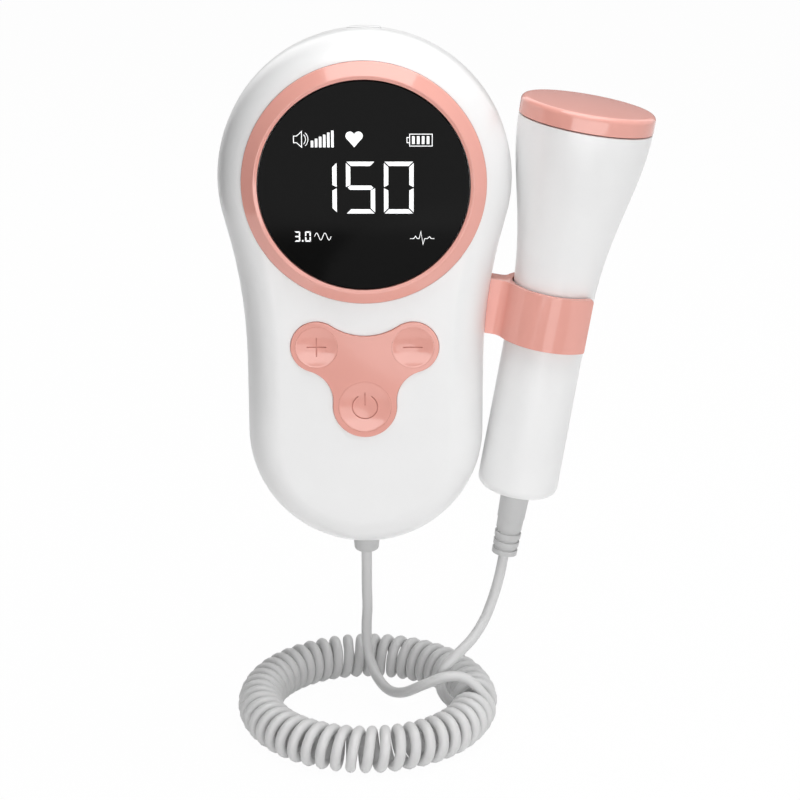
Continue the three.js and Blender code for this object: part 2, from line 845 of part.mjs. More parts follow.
function probeRadius(height) {
  const flareShare = THREE.MathUtils.clamp((height - flareStart) / (probeLength - flareStart), 0, 1);
  const flare = smooth(flareShare) ** 2;
  const slim = smooth(THREE.MathUtils.clamp(height / waistHeight, 0, 1));
  const handle = probeHandleRadius + (probeWaistRadius - probeHandleRadius) * slim;
  return handle + (probeTopRadius - probeWaistRadius) * flare;
}

function probeHousing() {
  const bottom = quarter(3)
    .toReversed()
    .map(([side, up]) => [
      probeHandleRadius - probeBottomRound * (1 - side),
      probeBottomRound * (1 - up),
    ]);
  const stationShares = [0.3, 0.55, 0.64, 0.73, 0.82, 0.91, 1];
  const outer = stationShares.map((share) => [probeRadius(share * probeLength), share * probeLength]);
  const inner = outer
    .filter((_, i) => i % 2 === 0)
    .toReversed()
    .map(([radius, height]) => [radius - probeWall, height]);
  const hole = reliefNeckRadius + seam;
  return turnedUp(
    [
      [hole, 0],
      ...bottom,
      ...outer,
      ...inner,
      [probeHandleRadius - probeWall, probeBottomRound + probeWall],
      [probeHandleRadius - probeBottomRound, probeFloor],
      [hole, probeFloor],
    ],
    roundSides,
  );
}

function probeCap() {
  const bottom = probeLength + seam;
  const top = bottom + capHeight;
  const radius = probeTopRadius + capProud;
  const rim = quarter(3).map(([side, up]) => [
    radius - capRound * (1 - side),
    top - capCrown - capRound * (1 - up),
  ]);
  return turnedUp(
    [
      [0, top - capFace],
      [capRecess, top - capFace],
      [capRecess, bottom - capSpigotLength],
      [capSpigot, bottom - capSpigotLength],
      [capSpigot, bottom],
      [radius, bottom],
      ...rim,
      [0, top],
    ],
    roundSides,
  );
}

const crystalTop = probeLength + seam + capHeight - capFace - seam;
const crystalBottom = crystalTop - crystalThickness;
const capSpigot = probeTopRadius - probeWall - 2 * seam;
const capRecess = capSpigot - capSpigotWall;
const backingRadius = capRecess - backingGap;
const crystalRadius = backingRadius - seam;

function crystal(side) {
  const disc = rodZ(crystalRadius, 0, 0, crystalBottom, crystalTop, roundSides);
  const half = block(
    [side > 0 ? crystalGap / 2 : -beyond, -beyond, crystalBottom - overrun],
    [side > 0 ? beyond : -crystalGap / 2, beyond, crystalTop + overrun],
  );
  return common(disc, half);
}

function crystalBacking() {
  const top = crystalBottom - seam;
  return rodZ(backingRadius, 0, 0, top - backingThickness, top, roundSides);
}

function probeBoard() {
  const half = probeWaistRadius - probeWall - 2 * seam;
  return block(
    [-half, -boardThickness / 2, probeBoardStart],
    [half, boardThickness / 2, probeBoardEnd],
  );
}

function strainRelief() {
  const pitch = (reliefLength - reliefPlainLength) / reliefRibs;
  const radiusAt = (down) =>
    reliefRadius + ((reliefEndRadius - reliefRadius) * down) / reliefLength;
  const ribs = Array.from({ length: reliefRibs }, (_, i) => {
    const top = reliefPlainLength + i * pitch;
    const ribTop = top + pitch * (1 - reliefRibShare);
    const bottom = top + pitch;
    return [
      [radiusAt(top) - reliefGroove, -top],
      [radiusAt(ribTop) - reliefGroove, -ribTop],
      [radiusAt(ribTop), -ribTop],
      [radiusAt(bottom), -bottom],
    ];
  }).flat();
  return turnedUp(
    [
      [0, probeFloor + seam + reliefFlangeHeight],
      [reliefFlangeRadius, probeFloor + seam + reliefFlangeHeight],
      [reliefFlangeRadius, probeFloor + seam],
      [reliefNeckRadius, probeFloor + seam],
      [reliefNeckRadius, -seam],
      [reliefRadius, -seam],
      [radiusAt(reliefCollarLength), -reliefCollarLength],
      [radiusAt(reliefCollarLength) - reliefStep, -reliefCollarLength],
      [radiusAt(reliefPlainLength) - reliefStep, -reliefPlainLength],
      ...ribs,
      [0, -reliefLength],
    ],
    smallSides,
  );
}

// The clip's section square to the probe: an open ring that a neck joins to the case
function clipSection() {
  const outer = clipBore + clipWall;
  const jaw = clipMouth * degrees;
  const half = clipNeckWidth / 2;
  const filletY = half + clipFillet;
  const filletX = -Math.sqrt((outer + clipFillet) ** 2 - filletY ** 2);
  const meet = Math.atan2(filletY, -filletX);
  const farX = -(outer + caseDepth / 2);
  const shape = new THREE.Shape();
  shape.absarc(0, 0, outer, jaw, Math.PI - meet, false);
  shape.absarc(filletX, filletY, clipFillet, -meet, -Math.PI / 2, true);
  shape.lineTo(farX, half);
  shape.lineTo(farX, -half);
  shape.absarc(filletX, -filletY, clipFillet, Math.PI / 2, meet, true);
  shape.absarc(0, 0, outer, Math.PI + meet, 2 * Math.PI - jaw, false);
  shape.absarc(0, 0, clipBore, 2 * Math.PI - jaw, jaw, true);
  return shape;
}

// The clip as seen from the front, with the jaws' corners rounded
function clipFront() {
  const farX = -(clipBore + clipWall + caseDepth);
  const endX = (clipBore + clipWall) * Math.cos(clipMouth * degrees);
  const low = clipCentre - clipHeight / 2;
  const high = clipCentre + clipHeight / 2;
  const shape = new THREE.Shape();
  shape.moveTo(farX, low);
  shape.absarc(endX - clipCorner, low + clipCorner, clipCorner, -Math.PI / 2, 0, false);
  shape.absarc(endX - clipCorner, high - clipCorner, clipCorner, 0, Math.PI / 2, false);
  shape.lineTo(farX, high);
  return plateY(shape, beyond, -beyond);
}

function probeClip() {
  const straight = new THREE.ExtrudeGeometry(clipSection(), {
    depth: clipHeight,
    bevelEnabled: false,
    curveSegments: fineSides / 2,
  }).translate(0, 0, clipCentre - clipHeight / 2);
  const band = geometryOf(common(straight, clipFront())).applyMatrix4(probeFrame.matrix);
  const footOuterX = tailRadius - footReach;
  const tongue = block(
    [footOuterX - footThickness / 2, partingY - tongueWidth / 2, tongueBottomZ],
    [clipMidX - clipBore - clipWall, partingY + tongueWidth / 2, tongueTopZ],
  );
  const foot = block(
    [footOuterX - footThickness, partingY - footWidth / 2, tongueBottomZ],
    [footOuterX, partingY + footWidth / 2, tongueTopZ],
  );
  return join(cut(band, grownOutside), tongue, foot);
}

// Cord: a point on the ring of curls, with the direction of travel there
function curlPoint(turnAngle, phase) {
  const out = new THREE.Vector3(Math.cos(turnAngle), Math.sin(turnAngle), 0);
  const reach = ringRadius + curlRadius * Math.cos(phase);
  const point = new THREE.Vector3(ringCentreX, ringCentreY, curlCentreZ + curlRadius * Math.sin(phase));
  point.addScaledVector(out, reach);
  const normal = out.clone().multiplyScalar(Math.cos(phase));
  normal.z = Math.sin(phase);
  return { point, normal };
}

const curlTotalSteps = curlSteps * wholeCurls + curlSteps / 2;
const curlStart = curlStartAngle * degrees;
const curlSweep = (2 * Math.PI + (curlStartAngle - curlEndAngle) * degrees) / curlTotalSteps;
const curlPhase = (2 * Math.PI) / curlSteps;

// Stations along the curls, with a straight stretch one cord diameter long at each end
function curlStations() {
  const stations = Array.from({ length: curlTotalSteps + 1 }, (_, i) =>
    curlPoint(curlStart - i * curlSweep, curlStartPhase * degrees - i * curlPhase),
  );
  stations.forEach((station, i) => {
    const nudge = 1e-4;
    const from = curlPoint(
      curlStart - (i - nudge) * curlSweep,
      curlStartPhase * degrees - (i - nudge) * curlPhase,
    );
    const to = curlPoint(
      curlStart - (i + nudge) * curlSweep,
      curlStartPhase * degrees - (i + nudge) * curlPhase,
    );
    station.travel = to.point.clone().sub(from.point).normalize();
  });
  const carriedOn = (station, distance) => ({
    ...station,
    point: station.point.clone().addScaledVector(station.travel, distance),
  });
  return [
    carriedOn(stations[0], -cordDiameter),
    ...stations,
    carriedOn(stations.at(-1), cordDiameter),
  ];
}

const stations = curlStations();

function cordCurly() {
  const radius = cordDiameter / 2;
  return loft(
    stations.map(({ point, normal, travel }) => {
      const side = travel.clone().cross(normal).normalize();
      const up = side.clone().cross(travel).normalize();
      return Array.from({ length: curlSides }, (_, i) => {
        const angle = (i / curlSides) * 2 * Math.PI;
        return point
          .clone()
          .addScaledVector(up, radius * Math.cos(angle))
          .addScaledVector(side, radius * Math.sin(angle));
      });
    }),
  );
}

// The least gap between a curl and the next ones, from the stations' points
function leastCurlGap() {
  let least = Infinity;
  stations.forEach(({ point }, i) => {
    for (let j = i + curlSteps / 2; j < stations.length; j++) {
      least = Math.min(least, point.distanceTo(stations[j].point));
    }
  });
  return least - cordDiameter;
}

// The free stretches' routes, chosen by hand: they end in line with the curls' straight ends
const caseLeadRoute = [
  [0, -15, -75],
  [0, -15, -80],
  [0, -15, -86],
  [0.1, -13.8, -92.7],
  [-0.2, -11.7, -99.1],
  [-0.1, -10.1, -105.2],
  [0.8, -10.8, -110.6],
  [2.7, -13.6, -114.4],
  [5.9, -18.8, -116],
  [10, -25.2, -113.9],
  [15.5, -29.6, -109.6],
  [21.4, -30.5, -106.7],
  [25.7, -30.3, -106.6],
  [28.2, -30.4, -107.5],
];

const probeLeadRoute = [
  [21.8, -27.6, -113.9],
  [20.7, -27.5, -111.4],
  [20.6, -27.2, -108.6],
  [21.6, -26.9, -105.8],
  [24.9, -25.6, -102.4],
  [29.6, -22.4, -98.5],
  [32.9, -18.7, -94.6],
  [34.9, -16.3, -90.5],
  [36.3, -15.2, -86.3],
  [37.3, -15, -82.1],
];

function leadTube(points) {
  const radius = cordDiameter / 2;
  const section = new THREE.Shape();
  for (let i = 0; i < leadSides; i++) {
    const angle = (i / leadSides) * 2 * Math.PI;
    section[i ? "lineTo" : "moveTo"](radius * Math.cos(angle), radius * Math.sin(angle));
  }
  return new THREE.ExtrudeGeometry(section, {
    steps: leadSteps,
    bevelEnabled: false,
    extrudePath: new THREE.CatmullRomCurve3(points),
  });
}

const listed = (route) => route.map((place) => new THREE.Vector3(...place));

function cordCaseLead() {
  const { point, travel } = stations[0];
  return leadTube([
    ...listed(caseLeadRoute),
    point.clone().addScaledVector(travel, -cordDiameter / 2 - seam),
    point.clone().addScaledVector(travel, -seam),
  ]);
}

function cordProbeLead() {
  const { point, travel } = stations.at(-1);
  const reliefEnd = (down) =>
    new THREE.Vector3(0, 0, -reliefLength - down).applyMatrix4(probeFrame.matrix);
  return leadTube([
    point.clone().addScaledVector(travel, seam),
    point.clone().addScaledVector(travel, seam + cordDiameter / 2),
    ...listed(probeLeadRoute),
    reliefEnd(seam + cordDiameter / 2),
    reliefEnd(seam),
  ]);
}

// The assembly
function piece(name, shape, material) {
  const geometry = shape.isBufferGeometry ? shape : geometryOf(shape);
  const mesh = new THREE.Mesh(geometry, material);
  mesh.name = name;
  return mesh;
}

const monitor = new THREE.Group();
monitor.add(
  piece("front_shell", frontShell(), white),
  piece("rear_shell", rearShell(), white),
  piece("bezel_ring", bezelRing(), rose),
  piece("display_lens", displayLens(), blackGlass),
  piece("display_gasket", displayGasket(), foam),
  piece("display_panel", displayPanel(), display),
  piece("main_board", mainBoard(), board),
  piece("button_fascia", buttonFascia(), rose),
  piece("battery_pack", batteryPack(), cell),
  piece("battery_door", batteryDoor(), white),
  piece("loudspeaker", loudspeaker(), magnet),
  piece("charging_socket", chargingSocket(), steel),
  piece("charge_board", chargeBoard(), board),
  piece("port_cover", portCover(), white),
  piece("probe_clip", probeClip(), rose),
  piece("cord_gland", cordGland(), greyRubber),
);
for (const key of keys) {
  monitor.add(
    piece(`${key.name}_button`, keyCap(key), rose),
    piece(`key_switch_${key.name}`, keySwitch(key), switchPlastic),
  );
}
screws.forEach((place, i) => monitor.add(piece(`case_screw_${i + 1}`, caseScrew(place), steel)));

const cord = new THREE.Group();
cord.add(
  piece("cord_case_lead", cordCaseLead(), greyRubber),
  piece("cord_curly", cordCurly(), greyRubber),
  piece("cord_probe_lead", cordProbeLead(), greyRubber),
);
console.log(`least gap between the curls: ${leastCurlGap().toFixed(2)} mm`);

const probe = new THREE.Group();
probe.position.copy(probeFrame.position);
probe.rotation.copy(probeFrame.rotation);
probe.add(
  piece("probe_housing", probeHousing(), white),
  piece("probe_cap", probeCap(), rose),
  piece("transmit_crystal", crystal(1), ceramic),
  piece("receive_crystal", crystal(-1), ceramic),
  piece("crystal_backing", crystalBacking(), resin),
  piece("probe_board", probeBoard(), board),
  piece("probe_strain_relief", strainRelief(), greyRubber),
);

const fetalDoppler = new THREE.Group();
fetalDoppler.add(monitor, cord, probe);

export default fetalDoppler;
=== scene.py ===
import math
from types import SimpleNamespace

import bmesh
import bpy
from bpy.props import FloatProperty, FloatVectorProperty, IntProperty, PointerProperty
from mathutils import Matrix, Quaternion, Vector


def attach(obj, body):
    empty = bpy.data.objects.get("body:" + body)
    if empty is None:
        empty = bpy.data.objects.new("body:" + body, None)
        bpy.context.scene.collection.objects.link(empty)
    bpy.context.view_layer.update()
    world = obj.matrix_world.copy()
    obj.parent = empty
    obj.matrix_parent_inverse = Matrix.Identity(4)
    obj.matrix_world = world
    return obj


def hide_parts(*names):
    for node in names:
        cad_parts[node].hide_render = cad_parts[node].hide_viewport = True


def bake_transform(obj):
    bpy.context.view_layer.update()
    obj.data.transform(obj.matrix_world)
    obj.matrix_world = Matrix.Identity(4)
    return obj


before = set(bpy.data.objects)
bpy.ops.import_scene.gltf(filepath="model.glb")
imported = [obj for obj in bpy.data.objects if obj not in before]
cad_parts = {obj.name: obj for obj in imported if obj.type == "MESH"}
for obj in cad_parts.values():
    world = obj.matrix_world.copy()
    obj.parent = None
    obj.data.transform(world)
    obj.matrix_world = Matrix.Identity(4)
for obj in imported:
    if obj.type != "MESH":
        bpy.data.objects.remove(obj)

bl_info = {
    "name": "Fetal heart monitor",
    "version": (1, 0, 0),
    "blender": (4, 5, 0),
    "location": "3D View > Sidebar > Monitor",
    "description": "Models a hand-held fetal heart monitor with its clip, probe and curly cord",
    "category": "Object",
}

UP = Vector((0, 0, 1))
RIGHT = Vector((1, 0, 0))
BACK = Vector((0, 1, 0))
FRONT = Vector((0, -1, 0))
HALF_TURN = math.pi
FULL_TURN = 2 * math.pi
QUARTER_TURN = math.pi / 2
CREASE = math.radians(32)  # Sharpest turn that is shaded smooth, where a piece has no other
NEAR = 0.0000005  # Points nearer than this are one point
GRAIN_HEIGHT = 0.00005  # Depth of the grain in moulded pieces


# Sizes and colours that a user would change

def length(default, description=""):
    return FloatProperty(
        default=default, description=description, unit="LENGTH", subtype="DISTANCE", precision=5
    )


def number(default, description=""):
    return FloatProperty(default=default, description=description)


def angle(degrees, description=""):
    return FloatProperty(default=math.radians(degrees), description=description, subtype="ANGLE")


def count(default, description=""):
    return IntProperty(default=default, description=description, min=3)


def colour(default, description=""):
    return FloatVectorProperty(
        default=default, description=description, subtype="COLOR", size=3, min=0, max=1
    )


class CaseSizes(bpy.types.PropertyGroup):
    height: length(0.140, "Case from foot to head")
    head_radius: length(0.0387, "Round head of the outline")
    tail_radius: length(0.0318, "Round tail of the outline")
    straight_side: length(0.0202, "Straight side above the tail")
    depth: length(0.0304, "Flat back to flat front")
    parting: length(0.015, "Flat back to where the two shells meet")
    straight_band: length(0.002, "Straight side on each side of the parting")
    front_round: length(0.0095, "How far the front's rounded edge reaches in")
    back_round: length(0.006, "How far the back's rounded edge reaches in")
    wall: length(0.002, "Thickness of the side wall")
    front_wall: length(0.0032, "Thickness of the front wall")
    back_wall: length(0.002, "Thickness of the back wall")
    seam: length(0.0003, "Gap between pieces that touch")
    snug: length(0.00004, "Gap that shows between pieces that are pressed together")
    rim: length(0.00022, "Rounded rims of the seats in the front")
    overrun: length(0.001, "How far a cutter runs past the face that it cuts")
    edge_steps: count(16, "Faces across a rounded edge of the case")
    arc_steps: count(28, "Faces along a quarter turn of the case's outline")


class DisplaySizes(bpy.types.PropertyGroup):
    above: length(0.0009, "Display's centre above the centre of the head")
    ring_radius: length(0.03167, "Outside of the ring")
    peak_radius: length(0.0284, "Highest line of the ring")
    lens_radius: length(0.02712, "Edge of the black window")
    seat: length(0.0015, "Depth of the seat for the ring")
    edge: length(0.0002, "Ring's outer edge over the case")
    rise: length(0.003, "Ring's peak over the case")
    lens_drop: length(0.0005, "Window under the ring's peak")
    lens_thickness: length(0.0017, "Thickness of the window")
    rim: length(0.00018, "Rounding of the ring's edges")
    opening_radius: length(0.0255, "Hole in the front wall behind the window")
    mark_scale: length(0.02735, "Length that the marks' places are shares of")
    mark_thickness: length(0.00002, "Thickness of the lit marks")
    ring_crease: angle(20, "Sharpest turn of the ring that is shaded smooth")
    steps: count(144, "Faces round the ring")


class KeySizes(bpy.types.PropertyGroup):
    spread: length(0.0127, "Plus and minus keys from the middle")
    upper_drop: length(0.0427, "Plus and minus keys under the head's centre")
    lower_drop: length(0.0591, "Power key under the head's centre")
    small_radius: length(0.0056, "Radius of the plus and minus keys")
    large_radius: length(0.007, "Radius of the power key")
    small_lobe: length(0.0069, "Lobe round the plus and minus keys")
    large_lobe: length(0.0085, "Lobe round the power key")
    top_hollow: length(0.0157, "Hollow arc between the plus and minus lobes")
    side_hollow: length(0.0085, "Hollow arcs beside the power lobe")
    plate_thickness: length(0.0021, "Lobed plate")
    plate_rise: length(0.0006, "Lobed plate over the case")
    plate_edge: length(0.0003, "Rounding of the plate's edge")
    flange: length(0.0008, "Flange that holds a key behind the plate")
    flange_thickness: length(0.0009, "Thickness of that flange")
    dish: length(0.0006, "Depth of a key's dish")
    rim: length(0.00003, "Rounding of a key's rim")
    running: length(0.00002, "Gap round a key in its hole")
    groove: length(0.00025, "Depth of a key's sign")
    stroke: length(0.0003, "Width of the lines in a key's sign")
    arm_share: number(0.46, "Arm of the plus and minus signs, of the key's radius")
    power_share: number(0.5, "Arc of the power sign, of the key's radius")
    power_opening: angle(32, "Half of the gap in that arc")
    bar_foot_share: number(0.1, "Foot of the power sign's bar, of the arc's radius")
    bar_top_share: number(1.12, "Top of that bar, of the arc's radius")
    crease: angle(40, "Sharpest turn that is shaded smooth")
    sign_steps: count(56, "Faces along the power sign's arc")
    dish_steps: count(12, "Faces across half a dish")
    rim_steps: count(5, "Faces across a key's rim")
    steps: count(64, "Faces round a key")


class BackSizes(bpy.types.PropertyGroup):
    door_width: length(0.034)
    door_thickness: length(0.0018)
    door_tongue: length(0.0008, "Tongue along the door's sides")
    tongue_thickness: length(0.0007, "Thickness of that tongue")
    battery_width: length(0.0308)
    battery_length: length(0.0468)
    battery_thickness: length(0.0092)
    battery_foot: length(0.0126, "Battery's bottom over the case's")
    battery_top_gap: length(0.0026, "Battery's top under the door's top")
    well_wall: length(0.0016, "Wall round the battery")
    groove_width: length(0.0009)
    groove_depth: length(0.0005)
    groove_length: length(0.012)
    groove_pitch: length(0.0024)
    grooves: count(3, "Grip grooves in the door")
    groove_top: length(0.006, "First groove under the door's top")
    speaker_above: length(0.0027, "Loudspeaker's centre above the head's centre")
    speaker_radius: length(0.014, "Loudspeaker")
    speaker_rib: length(0.0022, "Height of the rib round the loudspeaker")
    grille_radius: length(0.011)
    slot_width: length(0.0016)
    slot_pitch: length(0.0034)
    slot_steps: count(24, "Faces round a slot's end")
    screw_head: length(0.0023, "Radius of a case screw's head")
    screw_shank: length(0.0011, "Radius of a case screw's shank")
    screw_seat: length(0.005, "Depth of the screws' seats")
    boss_radius: length(0.0038, "Boss round a case screw")
    upper_spread: length(0.023, "Upper screws from the middle")
    upper_rise: length(0.0192, "Upper screws above the head's centre")
    lower_spread: length(0.022, "Lower screws from the middle")
    lower_drop: length(0.0058, "Lower screws under the tail's centre")
    edge: length(0.00025, "Rounding of the door's and cover's edges")
    rib_steps: count(64, "Faces round the loudspeaker's rib")
    head_steps: count(40, "Faces round a screw head's seat")
    boss_steps: count(32, "Faces round a boss")
    shank_steps: count(24, "Faces round a screw's hole")


class PortSizes(bpy.types.PropertyGroup):
    cover_width: length(0.0083)
    cover_depth: length(0.005)
    cover_thickness: length(0.0013)
    cover_proud: length(0.0003, "Cover over the case's outside")
    behind: length(0.002, "Cover's near edge behind the shells' parting")
    socket_width: length(0.0074)
    socket_depth: length(0.0028)
    socket_length: length(0.007)
    block_wall: length(0.0024, "Wall round the charging socket")


class ClipSizes(bpy.types.PropertyGroup):
    height: length(0.015, "Band along the probe")
    centre: length(0.0510, "Middle of the band above the probe's foot")
    bore: length(0.0116, "Inside radius of the jaws")
    wall: length(0.0017, "Thickness of the jaws")
    mouth: angle(41, "From the mouth's middle to each jaw's end")
    neck_width: length(0.0065, "Neck between the case and the jaws")
    fillet: length(0.0025, "Hollow corners between the neck and the jaws")
    upper_corner: length(0.0010, "Rounded upper corners of the jaws' ends, as seen from the front")
    lower_corner: length(0.0004, "Rounded lower corners of the jaws' ends, as seen from the front")
    edge: length(0.0003, "Rounding of all edges")
    tongue_width: length(0.0028)
    tongue_height: length(0.009)
    foot_thickness: length(0.0017)
    foot_width: length(0.009)
    foot_reach: length(0.0026, "Foot's outer face under the case's side")
    crease: angle(38, "Sharpest turn that is shaded smooth")
    jaw_steps: count(48, "Faces round one jaw")
    fillet_steps: count(8, "Faces across a hollow corner")
    corner_steps: count(10, "Faces across a rounded corner of a jaw's end")


class ProbeSizes(bpy.types.PropertyGroup):
    tilt: angle(9.2, "Lean of the probe's axis to the right")
    tuck: length(0.00135, "How far the foot reaches in under the case's side")
    foot_rise: length(0.01345, "Probe's foot over the case's")
    length: length(0.1032, "Housing alone")
    wall: length(0.0018, "Thickness of the housing")
    floor: length(0.003, "Thickness of the housing's bottom")
    bottom_round: length(0.0027, "Rounded bottom edge")
    handle_radius: length(0.01105, "Radius at the bottom")
    waist_radius: length(0.01085, "Radius under the flare")
    top_radius: length(0.0178, "Radius at the top of the flare")
    flare_start: length(0.040, "Height where the flare starts")
    waist_height: length(0.040)
    cap_height: length(0.005, "Cap that touches the skin")
    cap_proud: length(0.0001, "Cap outside the housing")
    cap_round: length(0.0014, "Rounded rim of the cap")
    cap_crown: length(0.0003, "Crown of the cap's face")
    cap_face: length(0.002, "Thickness of the cap's face")
    spigot_length: length(0.0032, "Cap's collar inside the housing")
    spigot_wall: length(0.0009, "Thickness of that collar")
    relief_radius: length(0.00405, "Strain relief at the housing")
    relief_end: length(0.0035, "Radius of the strain relief's end")
    relief_collar: length(0.0087, "Strain relief's collar under the housing")
    relief_step: length(0.00015, "How much slimmer the part under the collar is")
    relief_plain: length(0.0119, "Collar and plain part, above the ribs")
    relief_length: length(0.0194, "Strain relief outside the housing")
    relief_groove: length(0.0005, "Depth of its grooves")
    relief_neck: length(0.0029, "Neck through the housing")
    relief_flange: length(0.0046)
    relief_flange_height: length(0.0015)
    relief_ribs: count(3, "Ribs of the strain relief")
    groove_share: number(0.42, "Groove above each rib, of the ribs' pitch")
    crease: angle(50, "Sharpest turn that is shaded smooth")
    rib_crease: angle(30, "Sharpest turn of the strain relief that is shaded smooth")
    corner_steps: count(8, "Faces across the rounded bottom edge")
    side_steps: count(44, "Faces along the housing's side")
    rim_steps: count(6, "Faces across the cap's rim, and from there to its middle")
    steps: count(96, "Faces round the probe")


class CordSizes(bpy.types.PropertyGroup):
    diameter: length(0.0029, "Cord")
    ring_x: length(0.0003)
    ring_y: length(-0.0262)
    curl_radius: length(0.00485, "Centreline of a curl")
    ring_radius: length(0.02995, "Centreline of the ring of curls")
    floor_drop: length(0.122, "Surface under the case's mid-height")
    start_angle: angle(-10, "Where the case's lead joins the curls")
    end_angle: angle(-2, "Where the probe's lead joins the curls")
    start_phase: angle(45, "Where round a curl the curls start")
    curls: number(49.5, "Curls in the ring")
    curl_steps: count(20, "Points along a curl")
    lead_steps: count(6, "Points between two of a lead's places, and faces across the gland's edge")
    gland_steps: count(64, "Faces round the gland")
    neck_steps: count(48, "Faces round the gland's neck and flange")
    gland_radius: length(0.0038, "Gland under the case")
    gland_end: length(0.0034, "Radius of the gland's end")
    gland_length: length(0.0047, "Gland outside the case")
    gland_round: length(0.0011, "Rounded end of the gland")
    gland_neck: length(0.0028, "Neck through the case")
    gland_flange: length(0.0046)
    gland_flange_height: length(0.0015)
    gland_flange_lift: length(0.0008, "Flange over the inside of the wall")


class Colours(bpy.types.PropertyGroup):
    white: colour((0.885, 0.885, 0.885), "Case and probe")
    rose: colour((0.84, 0.395, 0.335), "Ring, plate, keys, clip and cap")
    rose_sign: colour((0.7, 0.31, 0.26), "Grooves of the keys' signs")
    cord: colour((0.67, 0.67, 0.67), "Cord")
    relief: colour((0.58, 0.58, 0.58), "Strain relief and gland")


# Drawing by hand: a pen that leaves a line of edges

class Pen:
    """Draws a line point by point in edit mode: straight runs are extruded and arcs are spun."""

    SPECK = 0.001

    def __init__(self, start):
        self.here = Vector(start)
        bpy.ops.object.select_all(action="DESELECT")
        bpy.ops.mesh.primitive_plane_add(size=self.SPECK)
        bpy.ops.object.mode_set(mode="EDIT")
        bpy.ops.mesh.merge(type="CENTER")
        bpy.ops.transform.translate(value=self.here)

    def line_to(self, place):
        place = Vector(place)
        bpy.ops.mesh.extrude_region_move(TRANSFORM_OT_translate={"value": place - self.here})
        self.here = place

    def arc(self, centre, axis, angle, steps):
        """Turns the line's end about an axis, by the right-hand rule."""
        centre = Vector(centre)
        bpy.ops.mesh.spin(steps=steps, angle=-angle, center=centre, axis=axis)
        self.here = centre + Quaternion(axis, angle) @ (self.here - centre)

    def close(self, facing):
        """Joins the line's ends and fills it with one face that looks the way given."""
        bpy.ops.mesh.select_all(action="SELECT")
        bpy.ops.mesh.remove_doubles(threshold=NEAR)
        bpy.ops.mesh.edge_face_add()
        mesh = bmesh.from_edit_mesh(bpy.context.object.data)
        mesh.normal_update()
        if mesh.faces[:][0].normal.dot(Vector(facing)) < 0:
            bpy.ops.mesh.flip_normals()


def raise_face(offset):
    bpy.ops.mesh.extrude_region_move(TRANSFORM_OT_translate={"value": Vector(offset)})


def named(name):
    """Leaves edit mode and names the piece that was drawn."""
    bpy.ops.object.mode_set(mode="OBJECT")
    piece = bpy.context.object
    piece.name = name
    piece.data.name = name
    return piece


def outwards(name):
    """Turns all faces outwards, and names the piece."""
    bpy.ops.mesh.select_all(action="SELECT")
    bpy.ops.mesh.normals_make_consistent(inside=False)
    return named(name)


def choose(piece):
    bpy.ops.object.select_all(action="DESELECT")
    piece.select_set(True)
    bpy.context.view_layer.objects.active = piece


def finished(piece, edge=0, segments=3, limit=CREASE):
    """Rounds the sharp edges, shades the piece smooth and weights its normals by area."""
    choose(piece)
    if edge > 0:
        bevel = piece.modifiers.new("rounded edges", "BEVEL")
        bevel.width = edge
        bevel.segments = segments
        bevel.limit_method = "ANGLE"
        bevel.angle_limit = limit
        bevel.use_clamp_overlap = True
        bpy.ops.object.modifier_apply(modifier=bevel.name)
    bpy.ops.object.shade_smooth_by_angle(angle=limit)
    weighted = piece.modifiers.new("weighted normals", "WEIGHTED_NORMAL")
    weighted.keep_sharp = True
    bpy.ops.object.modifier_apply(modifier=weighted.name)
    return piece


def combine(piece, others, operation):
    """Cuts the others from the piece, joins them to it or keeps what they share, one by one."""
    for other in others:
        choose(piece)
        modifier = piece.modifiers.new(operation.lower(), "BOOLEAN")
        modifier.operation = operation
        modifier.solver = "EXACT"
        modifier.material_mode = "TRANSFER"
        modifier.object = other
        bpy.ops.object.modifier_apply(modifier=modifier.name)
        bpy.data.objects.remove(other, do_unlink=True)
    return piece


def cut(piece, *others):
    return combine(piece, others, "DIFFERENCE")


def join(piece, *others):
    return combine(piece, others, "UNION")


def keep_common(piece, *others):
    return combine(piece, others, "INTERSECT")


def block(low, high, name="block"):
    """A box between two corners."""
    low, high = Vector(low), Vector(high)
    bpy.ops.object.select_all(action="DESELECT")
    bpy.ops.mesh.primitive_cube_add(size=1, location=(low + high) / 2, scale=high - low)
    bpy.ops.object.transform_apply(location=True, rotation=True, scale=True)
    return named(name)


def rod(radius, start, end, steps, name="rod"):
    """A round bar from one point to another."""
    start, end = Vector(start), Vector(end)
    along = end - start
    turn = along.to_track_quat("Z", "Y").to_euler()
    bpy.ops.object.select_all(action="DESELECT")
    bpy.ops.mesh.primitive_cylinder_add(
        vertices=steps, radius=radius, depth=along.length, location=(start + end) / 2, rotation=turn
    )
    bpy.ops.object.transform_apply(location=True, rotation=True, scale=True)
    return named(name)


def rod_back(radius, x, z, from_y, to_y, steps):
    return rod(radius, (x, from_y, z), (x, to_y, z), steps)


def rod_up(radius, y, from_z, to_z, steps):
    return rod(radius, (0, y, from_z), (0, y, to_z), steps)


def turned(name, profile, centre, axis, across, steps):
    """Spins a closed profile of (reach, height) pairs about an axis."""
    centre, axis, across = Vector(centre), Vector(axis), Vector(across)
    places = [centre + across * reach + axis * height for reach, height in profile]
    pen = Pen(places[0])
    for place in places[1:]:
        pen.line_to(place)
    if profile[0][0] > 0 or profile[-1][0] > 0:
        pen.line_to(places[0])
    bpy.ops.mesh.select_all(action="SELECT")
    bpy.ops.mesh.remove_doubles(threshold=NEAR)
    bpy.ops.mesh.spin(steps=steps, angle=FULL_TURN, center=centre, axis=axis)
    bpy.ops.mesh.select_all(action="SELECT")
    bpy.ops.mesh.remove_doubles(threshold=NEAR)
    return outwards(name)


